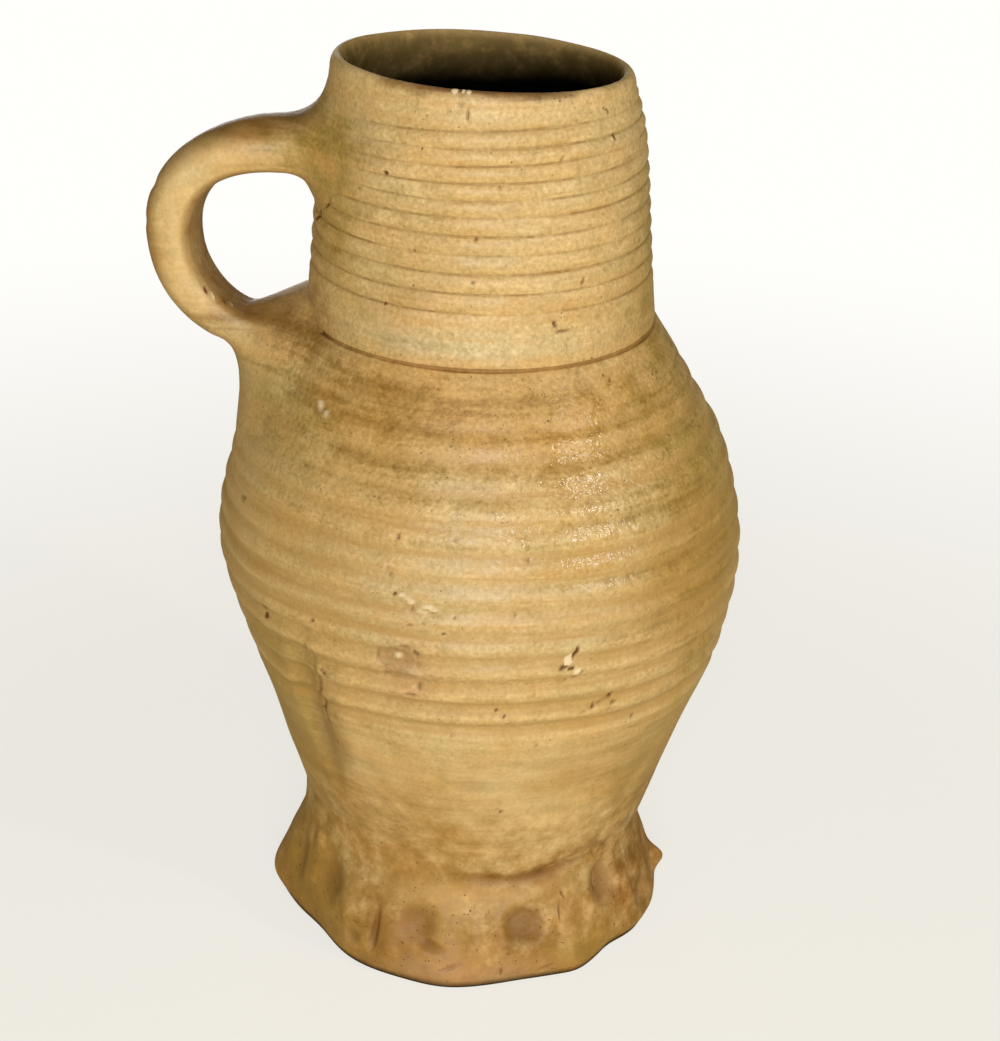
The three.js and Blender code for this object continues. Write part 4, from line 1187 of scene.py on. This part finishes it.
# Bead round the pot, which dips inwards at the handle
def ringBead(name, radius, height, bead, dip=0.0):
    sides, roundSides = slipSizes["beadSides"], slipSizes["beadRoundSides"]
    angle = np.arange(sides) * 2 * pi / sides
    middle = radius - dip * np.exp(-(((angle - pi) / slipSizes["dipTurn"]) ** 4))
    rings = []
    for turn in np.arange(roundSides) * 2 * pi / roundSides:
        reach = middle + bead[0] * math.cos(turn)
        heights = np.full_like(angle, height + bead[1] * math.sin(turn))
        rings.append(np.stack([reach * np.cos(angle), reach * np.sin(angle), heights], -1))
    rings = np.array(rings)
    facts = {"around": angle[None], "along": rings[:, :, 2] * mm, "outside": np.ones((roundSides, 1))}
    return ringSkin(name, rings, facts, loop=True)


def rootFilm(name, root, height):
    size = slipSizes
    turn = np.arange(size["filmSides"]) * 2 * pi / size["filmSides"]
    border, _ = rootEdge(root, height, turn)
    middle = np.array([pi, height])
    rings = []
    for lift, shares in ((size["filmUnder"], size["underShares"]), (size["filmOver"], size["overShares"])):
        for share in shares:
            place = middle + (border - middle) * share
            rings.append(onWall(place[:, 0], place[:, 1], lift, hug=1.0))
    rings = np.array(rings)
    facts = {"around": turn[None], "along": rings[:, :, 2] * mm, "outside": np.ones((len(rings), 1))}
    return ringSkin(name, rings, facts)


def slipPieces():
    size = slipSizes
    footHeight = frillSizes["topHeight"] - size["footDrop"]
    footRadius = bellyOutline(footHeight) - size["footTuck"]
    films = {
        "neck_luting": ringBead(
            "neck_slip", size["neckRadius"], size["neckHeight"], size["neckBead"], size["dipAtHandle"]),
        "foot_luting": ringBead("foot_slip", footRadius, footHeight, size["footBead"]),
        "handle_upper_luting": rootFilm("upper_root_slip", handleSizes["upper"], handleSizes["upperHeight"]),
        "handle_lower_luting": rootFilm("lower_root_slip", handleSizes["lower"], handleSizes["lowerHeight"]),
    }
    for node, piece in films.items():
        work(piece, materials["slip"], [("kiln", kilnSet)])
        settle(piece, [node])


slipPieces()
print("jug dressed")


# Floor, light and camera; the lamps' places, aims and widths are in metres
studio = {
    "cameraAt": (1.8, -593.14, 368.54), "pitch": 0.41698, "roll": 0.03261, "yaw": 0.00172,
    "focalPixels": 2599.67, "imageTall": 1041, "sensor": 36.0, "nearest": 0.01, "furthest": 50,
    "floor": (0.87, 0.78, 0.5, 1.0), "floorHalf": 6.0, "glow": (1.0, 0.995, 0.97, 1.0),
    "glowNear": 0.72, "glowFrom": 0.12, "glowWhole": 0.6,
    "fill": 0.2, "fillColour": (1.0, 0.85, 0.48, 1.0), "lampColour": (1.0, 0.985, 0.95),
    "lamps": {
        "key": {"at": (0.0, -1.25, 0.48), "aim": (0, 0, 0.12), "width": 0.5, "power": 10.8},
        "side": {"at": (1.0, -0.76, 0.68), "aim": (0, 0, 0.12), "width": 0.1, "power": 3.6},
        "back": {"at": (-0.15, 1.25, 0.14), "aim": (0, 0, 0.1), "width": 0.5, "power": 3.0},
    },
}


# White where the camera sees it, and plain and warm to everything else
def buildFloor():
    half = studio["floorHalf"]
    corners = [(-half, -half, 0), (half, -half, 0), (half, half, 0), (-half, half, 0)]
    mesh = bpy.data.meshes.new("floor")
    mesh.from_pydata(corners, [], [(0, 1, 2, 3)])
    floor = newObject("floor", mesh)
    material, sheet = newMaterial("floor")
    away = sheet.node("ShaderNodeTexCoord", output="Object").length()
    plain = sheet.node("ShaderNodeBsdfDiffuse", {}, {"Color": studio["floor"]})
    glow = sheet.node("ShaderNodeEmission", {}, {"Color": studio["glow"], "Strength": 1.0})
    seen = sheet.node("ShaderNodeLightPath", output="Is Camera Ray")
    further = away.rise(studio["glowFrom"], studio["glowWhole"])
    share = seen * (studio["glowNear"] + (1 - studio["glowNear"]) * further)
    shader = sheet.node("ShaderNodeMixShader", {}, {0: share, 1: plain, 2: glow})
    sheet.node("ShaderNodeOutputMaterial", {}, {"Surface": shader})
    mesh.materials.append(material)


def buildLight():
    for name, plan in studio["lamps"].items():
        lamp = bpy.data.lights.new(name, "AREA")
        lamp.shape = "DISK"
        lamp.size = plan["width"]
        lamp.energy = plan["power"]
        lamp.color = studio["lampColour"]
        holder = newObject(name, lamp)
        holder.location = plan["at"]
        towards = Vector(plan["aim"]) - Vector(plan["at"])
        holder.rotation_euler = towards.to_track_quat("-Z", "Y").to_euler()
    world = bpy.data.worlds.new("studio")
    bpy.context.scene.world = world
    world.use_nodes = True
    world.node_tree.nodes.clear()
    sheet = Wire(world.node_tree)
    seen = sheet.node("ShaderNodeLightPath", output="Is Camera Ray")
    strength = seen * (1 - studio["fill"]) + studio["fill"]
    mixing = {0: seen, 6: studio["fillColour"], 7: (1.0, 1.0, 1.0, 1.0)}
    tinted = sheet.node("ShaderNodeMix", {"data_type": "RGBA"}, mixing, 2)
    light = sheet.node("ShaderNodeBackground", {}, {"Color": tinted, "Strength": strength})
    sheet.node("ShaderNodeOutputWorld", {}, {"Surface": light})


def buildCamera():
    pitch, roll, yaw = studio["pitch"], studio["roll"], studio["yaw"]
    forward = Vector((math.sin(yaw) * math.cos(pitch), math.cos(yaw) * math.cos(pitch), -math.sin(pitch)))
    flat = Vector((math.cos(yaw), -math.sin(yaw), 0))
    over = flat.cross(forward)
    right = math.cos(roll) * flat + math.sin(roll) * over
    up = math.cos(roll) * over - math.sin(roll) * flat
    lens = bpy.data.cameras.new("camera")
    lens.sensor_width = studio["sensor"]
    lens.lens = studio["focalPixels"] / studio["imageTall"] * studio["sensor"]
    lens.clip_start = studio["nearest"]
    lens.clip_end = studio["furthest"]
    camera = newObject("camera", lens)
    turned = Matrix((right, up, -forward)).transposed()
    place = Vector(studio["cameraAt"]) * mm
    camera.matrix_world = Matrix.Translation(place) @ turned.to_4x4()
    bpy.context.scene.camera = camera


buildFloor()
buildLight()
buildCamera()
bpy.context.scene.view_settings.view_transform = "Standard"
